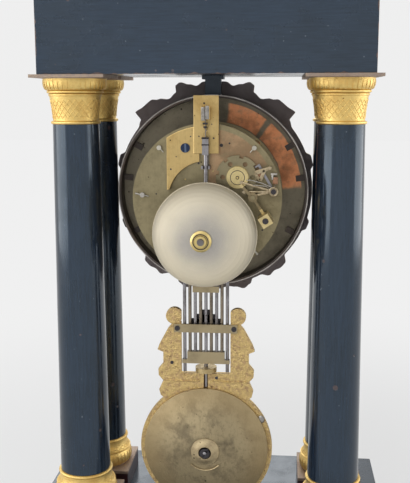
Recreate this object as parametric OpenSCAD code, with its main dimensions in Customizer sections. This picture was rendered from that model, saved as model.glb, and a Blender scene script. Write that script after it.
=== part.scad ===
/* [Base] */
// Width of the base block
base_w = 243; // [236:1:270]
// Depth of the base block
base_d = 151; // [144:1:180]
// Height of the base block with its bottom moulding
base_h = 44; // [30:1:60]
// Reach of the bottom moulding beyond the block, on each side
skirt_reach = 6; // [3:0.5:10]
// Height of the bottom moulding
skirt_h = 12; // [8:0.5:18]
// Height of the turned feet
foot_h = 12; // [6:0.5:20]
// Radius of the turned feet
foot_r = 15; // [10:0.5:18]

/* [Columns] */
// Distance between column axes across the front
col_span = 170; // [164:1:180]
// Distance between column axes from front to back
col_depth = 58; // [54:1:66]
// Column radius at the foot
col_foot_r = 17; // [15:0.25:17.5]
// Column radius at the neck
col_neck_r = 14.9; // [13:0.1:15.5]
// Height of the wooden block under each column
block_h = 12; // [6:0.5:20]
// Side of the square gilt plate below a column
plate_side = 45; // [42:0.5:48]
// Side of the square gilt plate above a column
abacus_side = 47; // [43:0.5:49]
// Thickness of the square gilt plates
plate_edge = 2; // [1.5:0.25:4]
// Height of the gilt column foot above its plate
col_base_h = 20.5; // [18:0.5:26]
// Height of the gilt capital below its plate
capital_h = 29; // [22:0.5:34]
// Clear height from the lower plate to the entablature
col_clear = 287; // [280:1:300]
// Radius of the turned dowel at each column end
dowel_r = 7; // [5:0.25:9]
// Length of the turned dowel at each column end
dowel_len = 12; // [8:0.5:16]

/* [Entablature] */
// Width of the frieze
frieze_w = 208; // [200:1:214]
// Depth of the frieze
frieze_d = 100; // [92:1:104]
// Height of the frieze
frieze_h = 58; // [40:1:80]
// Height of the cornice
cornice_h = 27; // [18:1:36]
// Reach of the cornice beyond the frieze, on each side
cornice_reach = 15; // [8:0.5:17]

/* [Dial] */
// Outside diameter of the drum ring
drum_od = 133; // [126:0.5:134]
// Wall of the drum ring
drum_wall = 2; // [1.5:0.25:3]
// Depth of the drum ring
drum_len = 20; // [17:0.5:22]
// Height of the movement centre above the lower column plates
movement_z = 208; // [205:0.5:211]
// Diameter of the dial
dial_d = 112; // [104:1:115]
// Thickness of the dial
dial_t = 1.6; // [1:0.1:2.5]
// Thickness of the plate behind the dial
false_t = 1; // [0.8:0.1:2]
// Plain radius of the bezel
bezel_r = 67.2; // [66.8:0.1:67.5]
// Reach of the cast leaves beyond the plain bezel
leaf_reach = 12; // [10:0.5:12.5]
// Depth of the bezel casting
bezel_t = 5; // [4:0.25:7]
// Outside radius of the hinged glass ring
door_r = 57; // [56:0.25:58]
// Width of the hinged glass ring
door_w = 7; // [5:0.25:9]
// Depth of the hinged glass ring
door_t = 3.5; // [3:0.25:5]
// Rise of the domed glass
glass_rise = 6; // [3:0.5:8]
// Thickness of the glass
glass_t = 1.6; // [1.2:0.1:2.4]

/* [Movement] */
// Diameter of the movement plates
plates_d = 97; // [95:0.5:99]
// Thickness of the movement plates
plates_t = 2.5; // [2:0.1:3.5]
// Clear distance between the movement plates
plates_gap = 36; // [36:0.25:38]
// Thickness of the train wheels
wheel_t = 1; // [0.8:0.1:1.2]
// Length of the pinions
pinion_len = 2.6; // [2.2:0.1:2.8]
// Radius of the slower train arbors
arbor_r = 0.7; // [0.6:0.02:0.7]
// Radius of the fast arbors of the striking train
fine_r = 0.45; // [0.4:0.01:0.46]
// Height of the spring barrels
barrel_h = 15; // [13:0.5:16]
// Radius of the barrel arbors
barrel_arbor_r = 2.5; // [2:0.1:3]
// Radius of the pillars
pillar_r = 3; // [2.5:0.1:3.2]

/* [Bell] */
// Radius of the bell at its mouth
bell_r = 33.4; // [30:0.1:34]
// Rise of the bell from its mouth to its crown
bell_rise = 24; // [20:0.5:26]
// Wall of the bell
bell_wall = 1.6; // [1.2:0.1:2.2]
// Drop of the bell centre below the movement centre
bell_drop = 21; // [20:0.5:22]
// Side of the square hammer head
hammer_side = 7; // [5:0.25:8]

/* [Pendulum] */
// Length from the swing axis to the middle of the bob
pendulum_len = 210; // [204:0.5:212]
// Height of the swing axis above the movement centre
swing_rise = 44; // [43.5:0.1:44.5]
// Outside radius of the cast ring round the bob
bob_ring_r = 44; // [43:0.25:46]
// Radius of the bob
bob_r = 41.2; // [40:0.1:42]
// Bulge of the bob on each face
bob_bulge = 7; // [4:0.25:8]
// Thickness of the cast pendulum frame
frame_t = 4; // [3.5:0.1:4.5]
// Radius of the gridiron rods
rod_r = 1.1; // [0.8:0.05:1.2]
// Distance between neighbouring gridiron rods
rod_pitch = 3.5; // [3.2:0.05:3.6]
// Length of the gridiron from its top bar to its lower block
grid_len = 59; // [56:0.5:60]
// Radius of the rating nut
nut_r = 7; // [5:0.25:8]

/* [Fits] */
// Running clearance round pivots, shafts and pins
run_gap = 0.05; // [0.02:0.01:0.08]
// Open clearance between pieces that pass each other
pass_gap = 0.3; // [0.25:0.05:0.4]

/* [Hidden] */
$fn = 64;

ebony = "#14161b";
gilt = "#c99a34";
brass = "#b59a5c";
steel = "#8c9096";
bronze = "#4a3a30";
enamel = "#eee9dc";

// Heights of the case, from the table up
base_top = foot_h + base_h;
plates_z = base_top + block_h + plate_edge;
soffit_z = plates_z + col_clear;
frieze_top = soffit_z + frieze_h;

// The movement hangs on one axis that runs from front to back
axis_z = plates_z + movement_z;
layout = plates_d / 97;

// Depths from back to front along that axis
back_face_y = col_depth / 2 + 1;
inner_y = back_face_y - plates_t;
front_in_y = inner_y - plates_gap;
front_face_y = front_in_y - plates_t;
drum_y = front_face_y - 2;
drum_front_y = drum_y - drum_len;
false_y = drum_front_y + 8;
dial_y = false_y - false_t;
dial_face_y = dial_y - dial_t;
bezel_front_y = drum_front_y - bezel_t;
door_y = bezel_front_y - pass_gap;
drum_r = drum_od / 2;

// Behind the movement: crutch, cock, pendulum and bell
crutch_t = 1.2;
crutch_y = back_face_y + 0.5 + crutch_t;
cock_y = back_face_y + 4;
cock_t = 2;
cock_w = 16;
pendulum_y = back_face_y + 7.6;
bell_y = back_face_y + 16;
swing_z = axis_z + swing_rise;
bob_z = swing_z - pendulum_len;
bell_z = axis_z - bell_drop;

// Arbor places about the movement centre, as seen from the front
going_at = layout * [23, -8];
strike_at = layout * [-23, -8];
inter_at = layout * [14, 12.6];
centre_at = [0, 0];
third_at = layout * [-4, 18];
escape_at = layout * [0, 32.85];
anchor_at = [0, swing_rise];
second_at = layout * [-20, 14.3];
pin_at = layout * [-28.9, 13];
lock_at = layout * [-30, 21.03];
warn_at = layout * [-24.2, 25.7];
fly_at = layout * [-18.3, 28.2];
minute_at = layout * [0, -14];
hammer_at = layout * [-30, 2];
lever_at = layout * [-43, 5.7];
bell_foot_at = [22, -bell_drop - 15];
pillar_at = [for (x = [-1, 1], z = [-1, 1]) layout * [x * 30.5, z * 33]];
dial_foot_at = [for (a = [90, 210, 330]) layout * 40 * [cos(a), sin(a)]];

// Layers inside the movement, counted forward from the back plate
barrel_layer = 3;
great_layer = barrel_layer + barrel_h - 2;
second_layer = 20.6;
inter_layer = 19.4;
centre_layer = 23;
third_layer = 27;
escape_layer = 31;
pin_layer = 23.2;
lock_layer = 25.8;
warn_layer = 28.2;
fly_layer = 30.6;

// Tooth counts of the two trains and the motion work
great_n = 96;
slow_leaves = 12;
inter_n = 72;
centre_n = 96;
third_n = 96;
fast_leaves = 8;
escape_n = 28;
second_n = 80;
pin_n = 64;
lock_n = 56;
lock_leaves = 7;
warn_n = 42;
fly_leaves = 6;
cannon_n = 12;
minute_n = 36;
minute_leaves = 10;
hour_n = 40;

function span(a, b) = norm(b - a);
function bearing(a, b) = atan2(b[1] - a[1], b[0] - a[0]);
// Tooth module of a pair that meets at the given centres
function pitch_m(a, b, n1, n2) = 2 * span(a, b) / (n1 + n2);
// Tooth outline: each step is [height in modules, half width in pitches]
wheel_tooth = [[-1.15, -0.24], [0, -0.2], [0.75, -0.09], [0.75, 0.09], [0, 0.2], [-1.15, 0.24]];
leaf_tooth = [[-1.25, -0.17], [0, -0.17], [0.6, -0.12], [0.6, 0.12], [0, 0.17], [-1.25, 0.17]];
function toothed(n, m, tooth, turn) = [
    for (i = [0 : n - 1], p = tooth)
        (n * m / 2 + p[0] * m) * [cos(turn + (i + p[1]) * 360 / n), sin(turn + (i + p[1]) * 360 / n)]
];
// A wheel shows a tooth towards its mate, a pinion shows the space that takes it
function wheel_turn(a, b) = bearing(a, b);
function leaf_turn(a, b, n) = bearing(a, b) + 180 + 180 / n;

// Stands a flat outline at a place on the movement, from depth y forward
module stand(at, y, len) {
    translate([at[0], y, axis_z + at[1]]) rotate([90, 0, 0]) linear_extrude(len) children();
}
module rod_y(at, y, len, r) {
    translate([at[0], y, axis_z + at[1]]) rotate([90, 0, 0]) cylinder(r = r, h = len);
}
function layer_y(layer) = inner_y - layer;

// An arbor between the plates with a thinner pivot at each end
pivot_cut = 0.18;
module arbor(at, r) {
    rod_y(at, inner_y - pass_gap, plates_gap - 2 * pass_gap, r);
    rod_y(at, inner_y + plates_t - pass_gap, plates_gap + 2 * plates_t - 2 * pass_gap, r - pivot_cut);
}
// Pivot holes through a plate whose back face lies at depth y
module pivot_holes(y) {
    for (p = slow_arbors) rod_y(p, y + 1, plates_t + 2, arbor_r - pivot_cut + run_gap);
    for (p = fine_arbors) rod_y(p, y + 1, plates_t + 2, fine_r - pivot_cut + run_gap);
}
// A crossed-out wheel: rim, hub and arms
module train_wheel(at, mate, n, leaves, layer, arms) {
    m = pitch_m(at, mate, n, leaves);
    rim_r = n * m / 2 - 3 * m;
    hub_r = 3 * arbor_r;
    stand(at, layer_y(layer), wheel_t) {
        difference() {
            polygon(toothed(n, m, wheel_tooth, wheel_turn(at, mate)));
            circle(r = rim_r);
        }
        circle(r = hub_r);
        for (i = [0 : arms - 1]) rotate(i * 360 / arms) translate([0, -hub_r / 3])
            square([rim_r + m, hub_r / 1.5]);
    }
}
module train_pinion(at, mate, n, leaves, layer) {
    m = pitch_m(at, mate, n, leaves);
    stand(at, layer_y(layer) + (pinion_len - wheel_t) / 2, pinion_len)
        polygon(toothed(leaves, m, leaf_tooth, leaf_turn(mate, at, leaves)));
}

// Case

module base_feet() {
    inset = foot_r + 6;
    color(ebony) for (x = [-1, 1], y = [-1, 1])
        translate([x * (base_w / 2 - inset), y * (base_d / 2 - inset), 0]) rotate_extrude() polygon([
            [0, 0], [foot_r * 0.72, 0], [foot_r * 0.93, foot_h * 0.2], [foot_r, foot_h * 0.45],
            [foot_r * 0.93, foot_h * 0.7], [foot_r * 0.7, foot_h * 0.85], [foot_r * 0.7, foot_h], [0, foot_h]
        ]);
}
// Level slab of the given width and depth
module slab(w, d, z, h) {
    translate([-w / 2, -d / 2, z]) cube([w, d, h]);
}
module base_block() {
    step = skirt_h / 3;
    color(ebony) difference() {
        union() {
            slab(base_w, base_d, foot_h, base_h);
            for (i = [0 : 2])
                slab(base_w + 2 * skirt_reach * (1 - i / 3), base_d + 2 * skirt_reach * (1 - i / 3),
                    foot_h + i * step, step);
        }
        translate([0, 0, base_top - dowel_len + block_h]) at_columns()
            cylinder(r = dowel_r + run_gap, h = dowel_len + 1);
    }
}
module at_columns() {
    for (x = [-1, 1], y = [-1, 1]) translate([x * col_span / 2, y * col_depth / 2, 0]) children();
}
module column_blocks() {
    color("#4a2a20") at_columns() difference() {
        translate([-plate_side / 2, -plate_side / 2, base_top]) cube([plate_side, plate_side, block_h]);
        translate([0, 0, base_top - 1]) cylinder(r = dowel_r + run_gap, h = block_h + 2);
    }
}
module place_column(x, y) {
    translate([x * col_span / 2, y * col_depth / 2, 0]) children();
}
// Gilt foot: square plate, torus, hollow and upper bead
module column_base(x, y) {
    r = col_foot_r;
    h = col_base_h;
    z = plates_z - plate_edge;
    color(gilt) place_column(x, y) difference() {
        union() {
            translate([-plate_side / 2, -plate_side / 2, z]) cube([plate_side, plate_side, plate_edge]);
            translate([0, 0, plates_z]) rotate_extrude() polygon(concat(
                [[0, 0], [r + 2.2, 0]],
                [for (a = [-90 : 15 : 90]) [r + 2.2 + 1.7 * cos(a), h * 0.26 + h * 0.24 * sin(a)]],
                [[r + 2.2, h * 0.54]],
                [for (a = [0 : 15 : 90]) [r + 3.3 - 2.7 * sin(a), h * 0.55 + h * 0.32 * (1 - cos(a))]],
                [for (a = [-90 : 18 : 90]) [r + 0.6 + 0.9 * cos(a), h * 0.94 + h * 0.05 * sin(a)]],
                [[r + 0.6, h], [0, h]]
            ));
        }
        translate([0, 0, z - 1]) cylinder(r = dowel_r + run_gap, h = plate_edge + h + 2);
    }
}
// Tapered ebonised shaft with a turned dowel at each end
module column(x, y) {
    z0 = plates_z + col_base_h;
    z1 = soffit_z - plate_edge - capital_h;
    low = base_top - dowel_len + block_h;
    color(ebony) place_column(x, y) {
        translate([0, 0, z0]) cylinder(r1 = col_foot_r, r2 = col_neck_r, h = z1 - z0);
        translate([0, 0, low]) cylinder(r = dowel_r, h = z0 - low + 1);
        translate([0, 0, z1 - 1]) cylinder(r = dowel_r, h = soffit_z + dowel_len / 2 - z1 + 1);
    }
}
// Gilt capital: bead, leaf bell and square plate
module capital(x, y) {
    r = col_neck_r;
    h = capital_h;
    z = soffit_z - plate_edge - h;
    color(gilt) place_column(x, y) difference() {
        union() {
            translate([0, 0, z]) rotate_extrude() polygon(concat(
                [[0, 0], [r + 0.3, 0]],
                [for (a = [-90 : 18 : 90]) [r + 0.2 + 0.9 * cos(a), h * 0.035 + h * 0.033 * sin(a)]],
                [for (t = [0.08 : 0.13 : 0.6]) [r - 0.4 + 5.6 * t * t, h * t]],
                [for (k = [0, 1], a = [-90 : 30 : 90])
                    [r + 1.6 + k + 0.7 * cos(a), h * (0.635 + 0.065 * k) + h * 0.028 * sin(a)]],
                [for (a = [0 : 15 : 90]) [r + 3.2 + 2.4 * sin(a), h * 0.735 + h * 0.25 * (1 - cos(a))]],
                [[r + 5.6, h], [0, h]]
            ));
            translate([-abacus_side / 2, -abacus_side / 2, z + h]) cube([abacus_side, abacus_side, plate_edge]);
        }
        translate([0, 0, z - 1]) cylinder(r = dowel_r + run_gap, h = h + plate_edge + 2);
    }
}
module entablature() {
    color(ebony) difference() {
        slab(frieze_w, frieze_d, soffit_z, frieze_h);
        translate([0, 0, soffit_z - 1]) at_columns() cylinder(r = dowel_r + run_gap, h = dowel_len / 2 + 1.3);
    }
}
module cornice() {
    steps = 4;
    step = cornice_h * 0.6 / steps;
    color(ebony) {
        for (i = [0 : steps - 1])
            slab(frieze_w + 2 * cornice_reach * sin(90 * (i + 0.4) / steps),
                frieze_d + 2 * cornice_reach * sin(90 * (i + 0.4) / steps), frieze_top + i * step, step);
        slab(frieze_w + 2 * cornice_reach, frieze_d + 2 * cornice_reach, frieze_top + steps * step, cornice_h * 0.4);
    }
}
stem_w = 11;
module hanger_stem() {
    stem_len = soffit_z - axis_z - drum_r;
    depth = 8;
    y = drum_y - drum_len / 2;
    color("#101216") difference() {
        union() {
            translate([-stem_w / 2, y - depth / 2, soffit_z - stem_len - 4]) cube([stem_w, depth, stem_len + 4]);
            translate([-stem_w / 2 - 2, y - depth / 2 - 2, soffit_z - 2]) cube([stem_w + 4, depth + 4, 2]);
        }
        rod_y(centre_at, drum_y + 1, drum_len + 2, drum_r);
    }
}

// Dial side

module drum_ring() {
    lug = [6, 4];
    color(bronze) {
        difference() {
            rod_y(centre_at, drum_y, drum_len, drum_r);
            rod_y(centre_at, drum_y + 1, drum_len + 2, drum_r - drum_wall);
        }
        difference() {
            rod_y(centre_at, dial_y, 1.2, drum_r - drum_wall / 2);
            rod_y(centre_at, dial_y + 1, 4, dial_d / 2 + pass_gap);
        }
        for (a = [-28, 8, 30, 150, 172, 208]) stand(centre_at, false_y + 2, 2) rotate(a)
            translate([drum_r - drum_wall - lug[0], -lug[1] / 2]) square([lug[0] + drum_wall / 2, lug[1]]);
    }
}
module false_plate() {
    color("#8a5a3c") difference() {
        rod_y(centre_at, false_y, false_t, drum_r - drum_wall - 0.1);
        rod_y(centre_at, false_y + 1, false_t + 2, hour_pipe_r + 3);
        for (p = [going_at, strike_at]) rod_y(p, false_y + 1, false_t + 2, barrel_arbor_r + 2);
        for (p = dial_foot_at) rod_y(p, false_y + 1, false_t + 2, dial_foot_r / 2 + run_gap);
    }
}
module dial() {
    color(enamel) difference() {
        rod_y(centre_at, dial_y, dial_t, dial_d / 2);
        rod_y(centre_at, dial_y + 1, dial_t + 2, hour_pipe_r + 2);
        for (p = [going_at, strike_at]) rod_y(p, dial_y + 1, dial_t + 2, barrel_arbor_r + 1.6);
    }
}
// Cast bezel: plain ring with leaf clusters at the top, the bottom and the shoulders.
// Each point is an angle from the top and a share of the leaves' reach.
leaf_points = [
    [0, 0.7], [6, 0.74], [10, 0.56], [14, 0.74], [18.5, 1], [20.8, 0.92], [22.2, 0.52], [27, 0.36],
    [32.5, 0.66], [36, 0.87], [41.5, 0.86], [46.4, 0.96], [47.4, 0.4], [52, 0.22],
    [68, 0.22], [71, 0.44], [76, 0.42], [79, 0.22], [107, 0.22], [109.5, 0.4], [113.5, 0.4], [116, 0.22],
    [133, 0.22], [136.5, 0.62], [140, 0.66], [144, 0.57], [147.5, 0.66], [152, 0.36],
    [157, 0.36], [159.5, 0.62], [163.5, 0.78], [168, 0.57], [172, 0.48], [180, 0.62]
];
function eased(a, b, t) = a + (b - a) * (1 - cos(180 * t)) / 2;
function leaf_edge(side) = [
    for (i = [0 : len(leaf_points) - 2], t = [0 : 0.25 : 0.75])
        let (p = leaf_points[i], q = leaf_points[i + 1])
        let (r = bezel_r + leaf_reach * eased(p[1], q[1], t), a = p[0] + (q[0] - p[0]) * t)
        [side * r * sin(a), r * cos(a)]
];
module leaf_outline() {
    right = leaf_edge(1);
    left = leaf_edge(-1);
    polygon(concat(
        right, [[0, -bezel_r - leaf_reach * leaf_points[len(leaf_points) - 1][1]]],
        [for (i = [len(left) - 1 : -1 : 1]) left[i]]
    ));
}
hinge_x = door_r + 3.5;
knuckle_r = door_t / 2 + pass_gap / 2;
hinge_pin_r = 1.2;
module bezel() {
    hinge_y = door_y - door_t / 2;
    color(gilt) difference() {
        union() {
            stand(centre_at, drum_front_y, bezel_t) difference() {
                leaf_outline();
                circle(r = door_r - door_w + 1);
            }
            for (s = [-1, 1]) translate([hinge_x, hinge_y, axis_z + s * 6 - 2])
                cylinder(r = knuckle_r, h = 4);
            for (s = [-1, 1]) translate([hinge_x - knuckle_r, hinge_y, axis_z + s * 6 - 2])
                cube([2 * knuckle_r, bezel_front_y - hinge_y + 1, 4]);
        }
        translate([hinge_x, hinge_y, axis_z - 9]) cylinder(r = hinge_pin_r + run_gap, h = 18);
    }
}
module glass_ring() {
    hinge_y = door_y - door_t / 2;
    seat_r = door_r - door_w / 2;
    color(gilt) {
        difference() {
            rod_y(centre_at, door_y, door_t, door_r);
            rod_y(centre_at, door_y + 1, door_t + 2, door_r - door_w);
            rod_y(centre_at, door_y - door_t / 2, door_t, seat_r);
        }
        translate([hinge_x, hinge_y, axis_z - 8]) cylinder(r = hinge_pin_r, h = 16);
        translate([hinge_x, hinge_y, axis_z - 3.7]) cylinder(r = knuckle_r, h = 7.4);
        translate([door_r - door_w / 2 + 1, hinge_y - 0.8, axis_z - 3.7])
            cube([hinge_x - door_r + door_w / 2 - 1, 1.6, 7.4]);
        translate([-door_r - 2.5, hinge_y - 0.8, axis_z - 2]) cube([4, 1.6, 4]);
    }
}
// Domed glass held in the hinged ring
module dial_glass() {
    edge_r = door_r - door_w / 2 - 0.1;
    y = door_y - door_t / 2;
    color([0.8, 0.85, 0.85, 0.4]) translate([0, y, axis_z]) rotate([90, 0, 0]) rotate_extrude() polygon(concat(
        [for (t = [0 : 0.1 : 1]) [edge_r * t, glass_t + glass_rise * (1 - t * t)]],
        [for (t = [1 : -0.1 : 0]) [edge_r * t, glass_rise * (1 - t * t)]]
    ));
}
cannon_r = 2.2;
hour_pipe_r = 3.2;
centre_arbor_r = 1.5;
hand_t = 0.8;
hour_hand_y = dial_face_y - 1.4;
minute_hand_y = hour_hand_y - hand_t - 1.2;
// A pierced hand: hub, stem, open ring and point
module hand_outline(len, hub, bore) {
    difference() {
        union() {
            circle(r = hub);
            polygon([[-0.9, 0], [0.9, 0], [0.5, len], [-0.5, len]]);
            translate([0, len * 0.66]) circle(r = len * 0.09);
        }
        circle(r = bore);
        translate([0, len * 0.66]) circle(r = len * 0.055);
    }
}
module hour_hand() {
    color("#23262c") stand(centre_at, hour_hand_y, hand_t) rotate(55) hand_outline(dial_d * 0.28, 5, hour_pipe_r);
}
module minute_hand() {
    color("#23262c") stand(centre_at, minute_hand_y, hand_t) rotate(-62)
        hand_outline(dial_d * 0.42, 4, cannon_r);
}
cannon_layer = 2.4;
hour_layer = 5.6;
module cannon_pinion() {
    m = pitch_m(centre_at, minute_at, minute_n, cannon_n);
    len = front_face_y - 0.5 - minute_hand_y + hand_t;
    color(steel) difference() {
        union() {
            rod_y(centre_at, front_face_y - 0.5, len, cannon_r);
            stand(centre_at, front_face_y - cannon_layer + 0.6, pinion_len)
                polygon(toothed(cannon_n, m, leaf_tooth, leaf_turn(minute_at, centre_at, cannon_n)));
        }
        rod_y(centre_at, front_face_y + 1, len + 4, centre_arbor_r + run_gap);
    }
}
minute_stud_r = 1.4;
module minute_wheel() {
    m = pitch_m(centre_at, minute_at, minute_n, cannon_n);
    m2 = pitch_m(centre_at, minute_at, hour_n, minute_leaves);
    color(brass) difference() {
        union() {
            stand(minute_at, front_face_y - cannon_layer, wheel_t)
                polygon(toothed(minute_n, m, wheel_tooth, wheel_turn(minute_at, centre_at)));
            rod_y(minute_at, front_face_y - cannon_layer, hour_layer - cannon_layer + wheel_t, minute_stud_r + 0.5);
            stand(minute_at, front_face_y - hour_layer + 0.4, pinion_len)
                polygon(toothed(minute_leaves, m2, leaf_tooth, leaf_turn(centre_at, minute_at, minute_leaves)));
        }
        rod_y(minute_at, front_face_y + 1, 20, minute_stud_r + run_gap);
    }
}
module hour_wheel() {
    m = pitch_m(centre_at, minute_at, hour_n, minute_leaves);
    color(brass) difference() {
        union() {
            stand(centre_at, front_face_y - hour_layer, wheel_t)
                polygon(toothed(hour_n, m, wheel_tooth, wheel_turn(centre_at, minute_at)));
            rod_y(centre_at, front_face_y - hour_layer, front_face_y - hour_layer - hour_hand_y + hand_t, hour_pipe_r);
        }
        rod_y(centre_at, front_face_y, 40, cannon_r + run_gap);
    }
}

// Movement frame

dial_foot_r = 3;
slow_arbors = [inter_at, third_at, escape_at, second_at];
fine_arbors = [pin_at, lock_at, warn_at, fly_at];
pivot_r = arbor_r - pivot_cut;
ratchet_r = 7.5 * layout;
click_at = layout * [-7.4, 7.4];
click_stud_r = 1.3;
module front_plate() {
    color(brass) {
        difference() {
            rod_y(centre_at, front_in_y, plates_t, plates_d / 2);
            rod_y(centre_at, front_in_y + 1, plates_t + 2, centre_arbor_r + run_gap);
            rod_y(anchor_at, front_in_y + 1, plates_t + 2, pivot_r + run_gap);
            pivot_holes(front_in_y);
            for (p = [going_at, strike_at]) rod_y(p, front_in_y + 1, plates_t + 2, barrel_arbor_r + run_gap);
            for (p = pillar_at) rod_y(p, front_in_y + 1, plates_t + 2, pillar_r / 2 + run_gap);
        }
        for (p = dial_foot_at) {
            rod_y(p, front_face_y, front_face_y - false_y, dial_foot_r);
            rod_y(p, front_face_y, front_face_y - false_y + false_t, dial_foot_r / 2);
        }
        rod_y(minute_at, front_face_y, hour_layer + wheel_t + 2, minute_stud_r);
        for (p = [going_at, strike_at]) rod_y(p + click_at, front_face_y, 3.4, click_stud_r);
    }
}
lever_stud_r = 1.2;
hammer_stud_r = 1.5;
module back_plate() {
    color(brass) {
        difference() {
            rod_y(centre_at, back_face_y, plates_t, plates_d / 2);
            rod_y(centre_at, back_face_y + 1, plates_t + 2, centre_arbor_r - 0.4 + run_gap);
            rod_y(anchor_at, back_face_y + 1, plates_t + 2, 3);
            pivot_holes(back_face_y);
            rod_y(second_at, back_face_y + 1, plates_t + 2, arbor_r + run_gap);
            for (p = [going_at, strike_at]) rod_y(p, back_face_y + 1, plates_t + 2, barrel_arbor_r - 0.5 + run_gap);
            for (p = pillar_at) rod_y(p, back_face_y + 1, plates_t + 2, pillar_r / 2 + run_gap);
        }
        rod_y(hammer_at, back_face_y + 9, 9 + plates_t / 2, hammer_stud_r);
        rod_y(lever_at, back_face_y + 3.6, 3.6 + plates_t / 2, lever_stud_r);
    }
}
// Pillars, riveted in front and held behind by a taper pin
pin_out = 2.8;
pin_seat = 1.2;
pin_len = 8;
pin_r = 0.4;
rivet_t = 0.6;
module pillars() {
    color(brass) for (p = pillar_at) {
        rod_y(p, inner_y, plates_gap, pillar_r);
        rod_y(p, back_face_y + pin_out, plates_gap + 2 * plates_t + pin_out + rivet_t, pillar_r / 2);
        translate([p[0], back_face_y + pin_seat, axis_z + p[1]]) rotate([0, 90 - bearing([0, 0], p), 0])
            translate([0, 0, -pin_len / 2]) cylinder(r1 = pin_r, r2 = pin_r * 1.7, h = pin_len);
    }
}
// Cock: a curved foot on the back plate and a tall bar with the spring jaws
jaw_gap = 2.2;
module back_cock() {
    bar_low = 29.5;
    bar_high = 66;
    foot_x = 4.5;
    jaw_rise = 7;
    jaw_z = swing_rise + jaw_rise;
    color(brass) difference() {
        union() {
            stand(centre_at, back_face_y + 3, 3) intersection() {
                difference() {
                    circle(r = plates_d / 2 - 1.5);
                    circle(r = plates_d / 2 - 24);
                }
                translate([foot_x, 6]) square([21, plates_d / 2]);
            }
            stand(centre_at, cock_y, cock_t) translate([-cock_w / 2, bar_low])
                square([cock_w, bar_high - bar_low]);
            for (s = [-1, 1]) translate([s * (jaw_gap / 2 + 1) - 1, cock_y - 0.5, axis_z + jaw_z])
                cube([2, 7, 8]);
        }
        rod_y(anchor_at, cock_y + 1, cock_t + 2, pivot_r + run_gap);
    }
}

// Bell and hammer

stand_r = 2.5;
bell_bore_r = 2;
bell_top_y = bell_y + bell_rise;
module bell_stand() {
    arm_t = 3;
    bell_at = [0, -bell_drop];
    reach = span(bell_foot_at, bell_at);
    color(steel) {
        rod_y(bell_foot_at, bell_y + arm_t, bell_y + arm_t - back_face_y, stand_r);
        stand(bell_foot_at, bell_y + arm_t, arm_t) rotate(bearing(bell_foot_at, bell_at))
            translate([0, -stand_r]) square([reach, 2 * stand_r]);
        rod_y(bell_at, bell_top_y - bell_wall - pass_gap, bell_rise - bell_wall - pass_gap, stand_r + 1);
        rod_y(bell_at, bell_top_y + 5, bell_rise + 5, bell_bore_r - run_gap);
    }
    color(gilt) translate([0, bell_top_y, bell_z]) rotate([-90, 0, 0]) rotate_extrude() polygon([
        [bell_bore_r - 1, 0], [6.5, 0], [6.5, 1.2], [5.4, 2], [5.4, 2.6], [4, 2.6], [3.6, 3.6], [bell_bore_r - 1, 3.6]
    ]);
}
// Bell in section: a flattened dome with an even wall
lip_w = 0.5;
lip_h = 1.2;
module bell() {
    color("#d8d2c2") translate([0, bell_y, bell_z]) rotate([-90, 0, 0]) difference() {
        rotate_extrude() polygon(concat(
            [[bell_r, 0], [bell_r, lip_h]],
            [for (a = [0 : 7.5 : 90]) [(bell_r - lip_w) * cos(a), lip_h + (bell_rise - lip_h) * pow(sin(a), 0.85)]],
            [for (a = [90 : -7.5 : 0])
                [(bell_r - bell_wall) * cos(a), (bell_rise - bell_wall) * pow(sin(a), 0.85)]]
        ));
        cylinder(r = bell_bore_r, h = bell_rise + 1);
    }
}
module hammer() {
    head_at = hammer_at + layout * [-8.4, -13];
    tail_at = hammer_at + layout * [8, 8];
    arm_y = back_face_y + 8;
    hub_r = 3;
    color(brass) difference() {
        union() {
            rod_y(hammer_at, arm_y, 4.4, hub_r);
            for (p = [head_at, tail_at]) stand(hammer_at, arm_y, 1.6) rotate(bearing(hammer_at, p))
                translate([0, -0.9]) square([span(hammer_at, p), 1.8]);
            stand(head_at, bell_y + hammer_side - 1, bell_y + hammer_side - 1 - arm_y + 2)
                rotate(bearing(hammer_at, head_at)) square(hammer_side, center = true);
        }
        rod_y(hammer_at, arm_y + 1, 8, hammer_stud_r + run_gap);
    }
}

// Going train

module barrel(at, mate) {
    m = pitch_m(at, mate, great_n, slow_leaves);
    root_r = great_n * m / 2 - 1.5 * m;
    color(brass) difference() {
        union() {
            rod_y(at, layer_y(barrel_layer), barrel_h, root_r);
            stand(at, layer_y(great_layer), 2)
                polygon(toothed(great_n, m, wheel_tooth, wheel_turn(at, mate)));
            rod_y(at, layer_y(barrel_layer) + 1, barrel_h + 2, barrel_arbor_r + 2);
        }
        rod_y(at, layer_y(barrel_layer) + 2, barrel_h + 4, barrel_arbor_r + run_gap);
    }
}
module going_barrel() {
    barrel(going_at, inter_at);
}
module strike_barrel() {
    barrel(strike_at, second_at);
}
ratchet_n = 24;
// Winding arbor: pivots, ratchet wheel and a square end for the key
module winding_arbor(at) {
    square_len = 9;
    color(steel) {
        rod_y(at, inner_y - pass_gap, plates_gap + plates_t + 6 - pass_gap, barrel_arbor_r);
        rod_y(at, back_face_y, plates_t + 2, barrel_arbor_r - 0.5);
        stand(at, front_face_y - 1, 1.5) polygon([
            for (i = [0 : ratchet_n - 1], p = [[1, 0], [0.86, 0.05]])
                ratchet_r * p[0] * [cos((i + p[1]) * 360 / ratchet_n), sin((i + p[1]) * 360 / ratchet_n)]
        ]);
        stand(at, front_face_y - 5, front_face_y - 5 - dial_face_y - 1) square(barrel_arbor_r * 1.3, center = true);
    }
}
module going_arbor() {
    winding_arbor(going_at);
}
module strike_arbor() {
    winding_arbor(strike_at);
}
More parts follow.
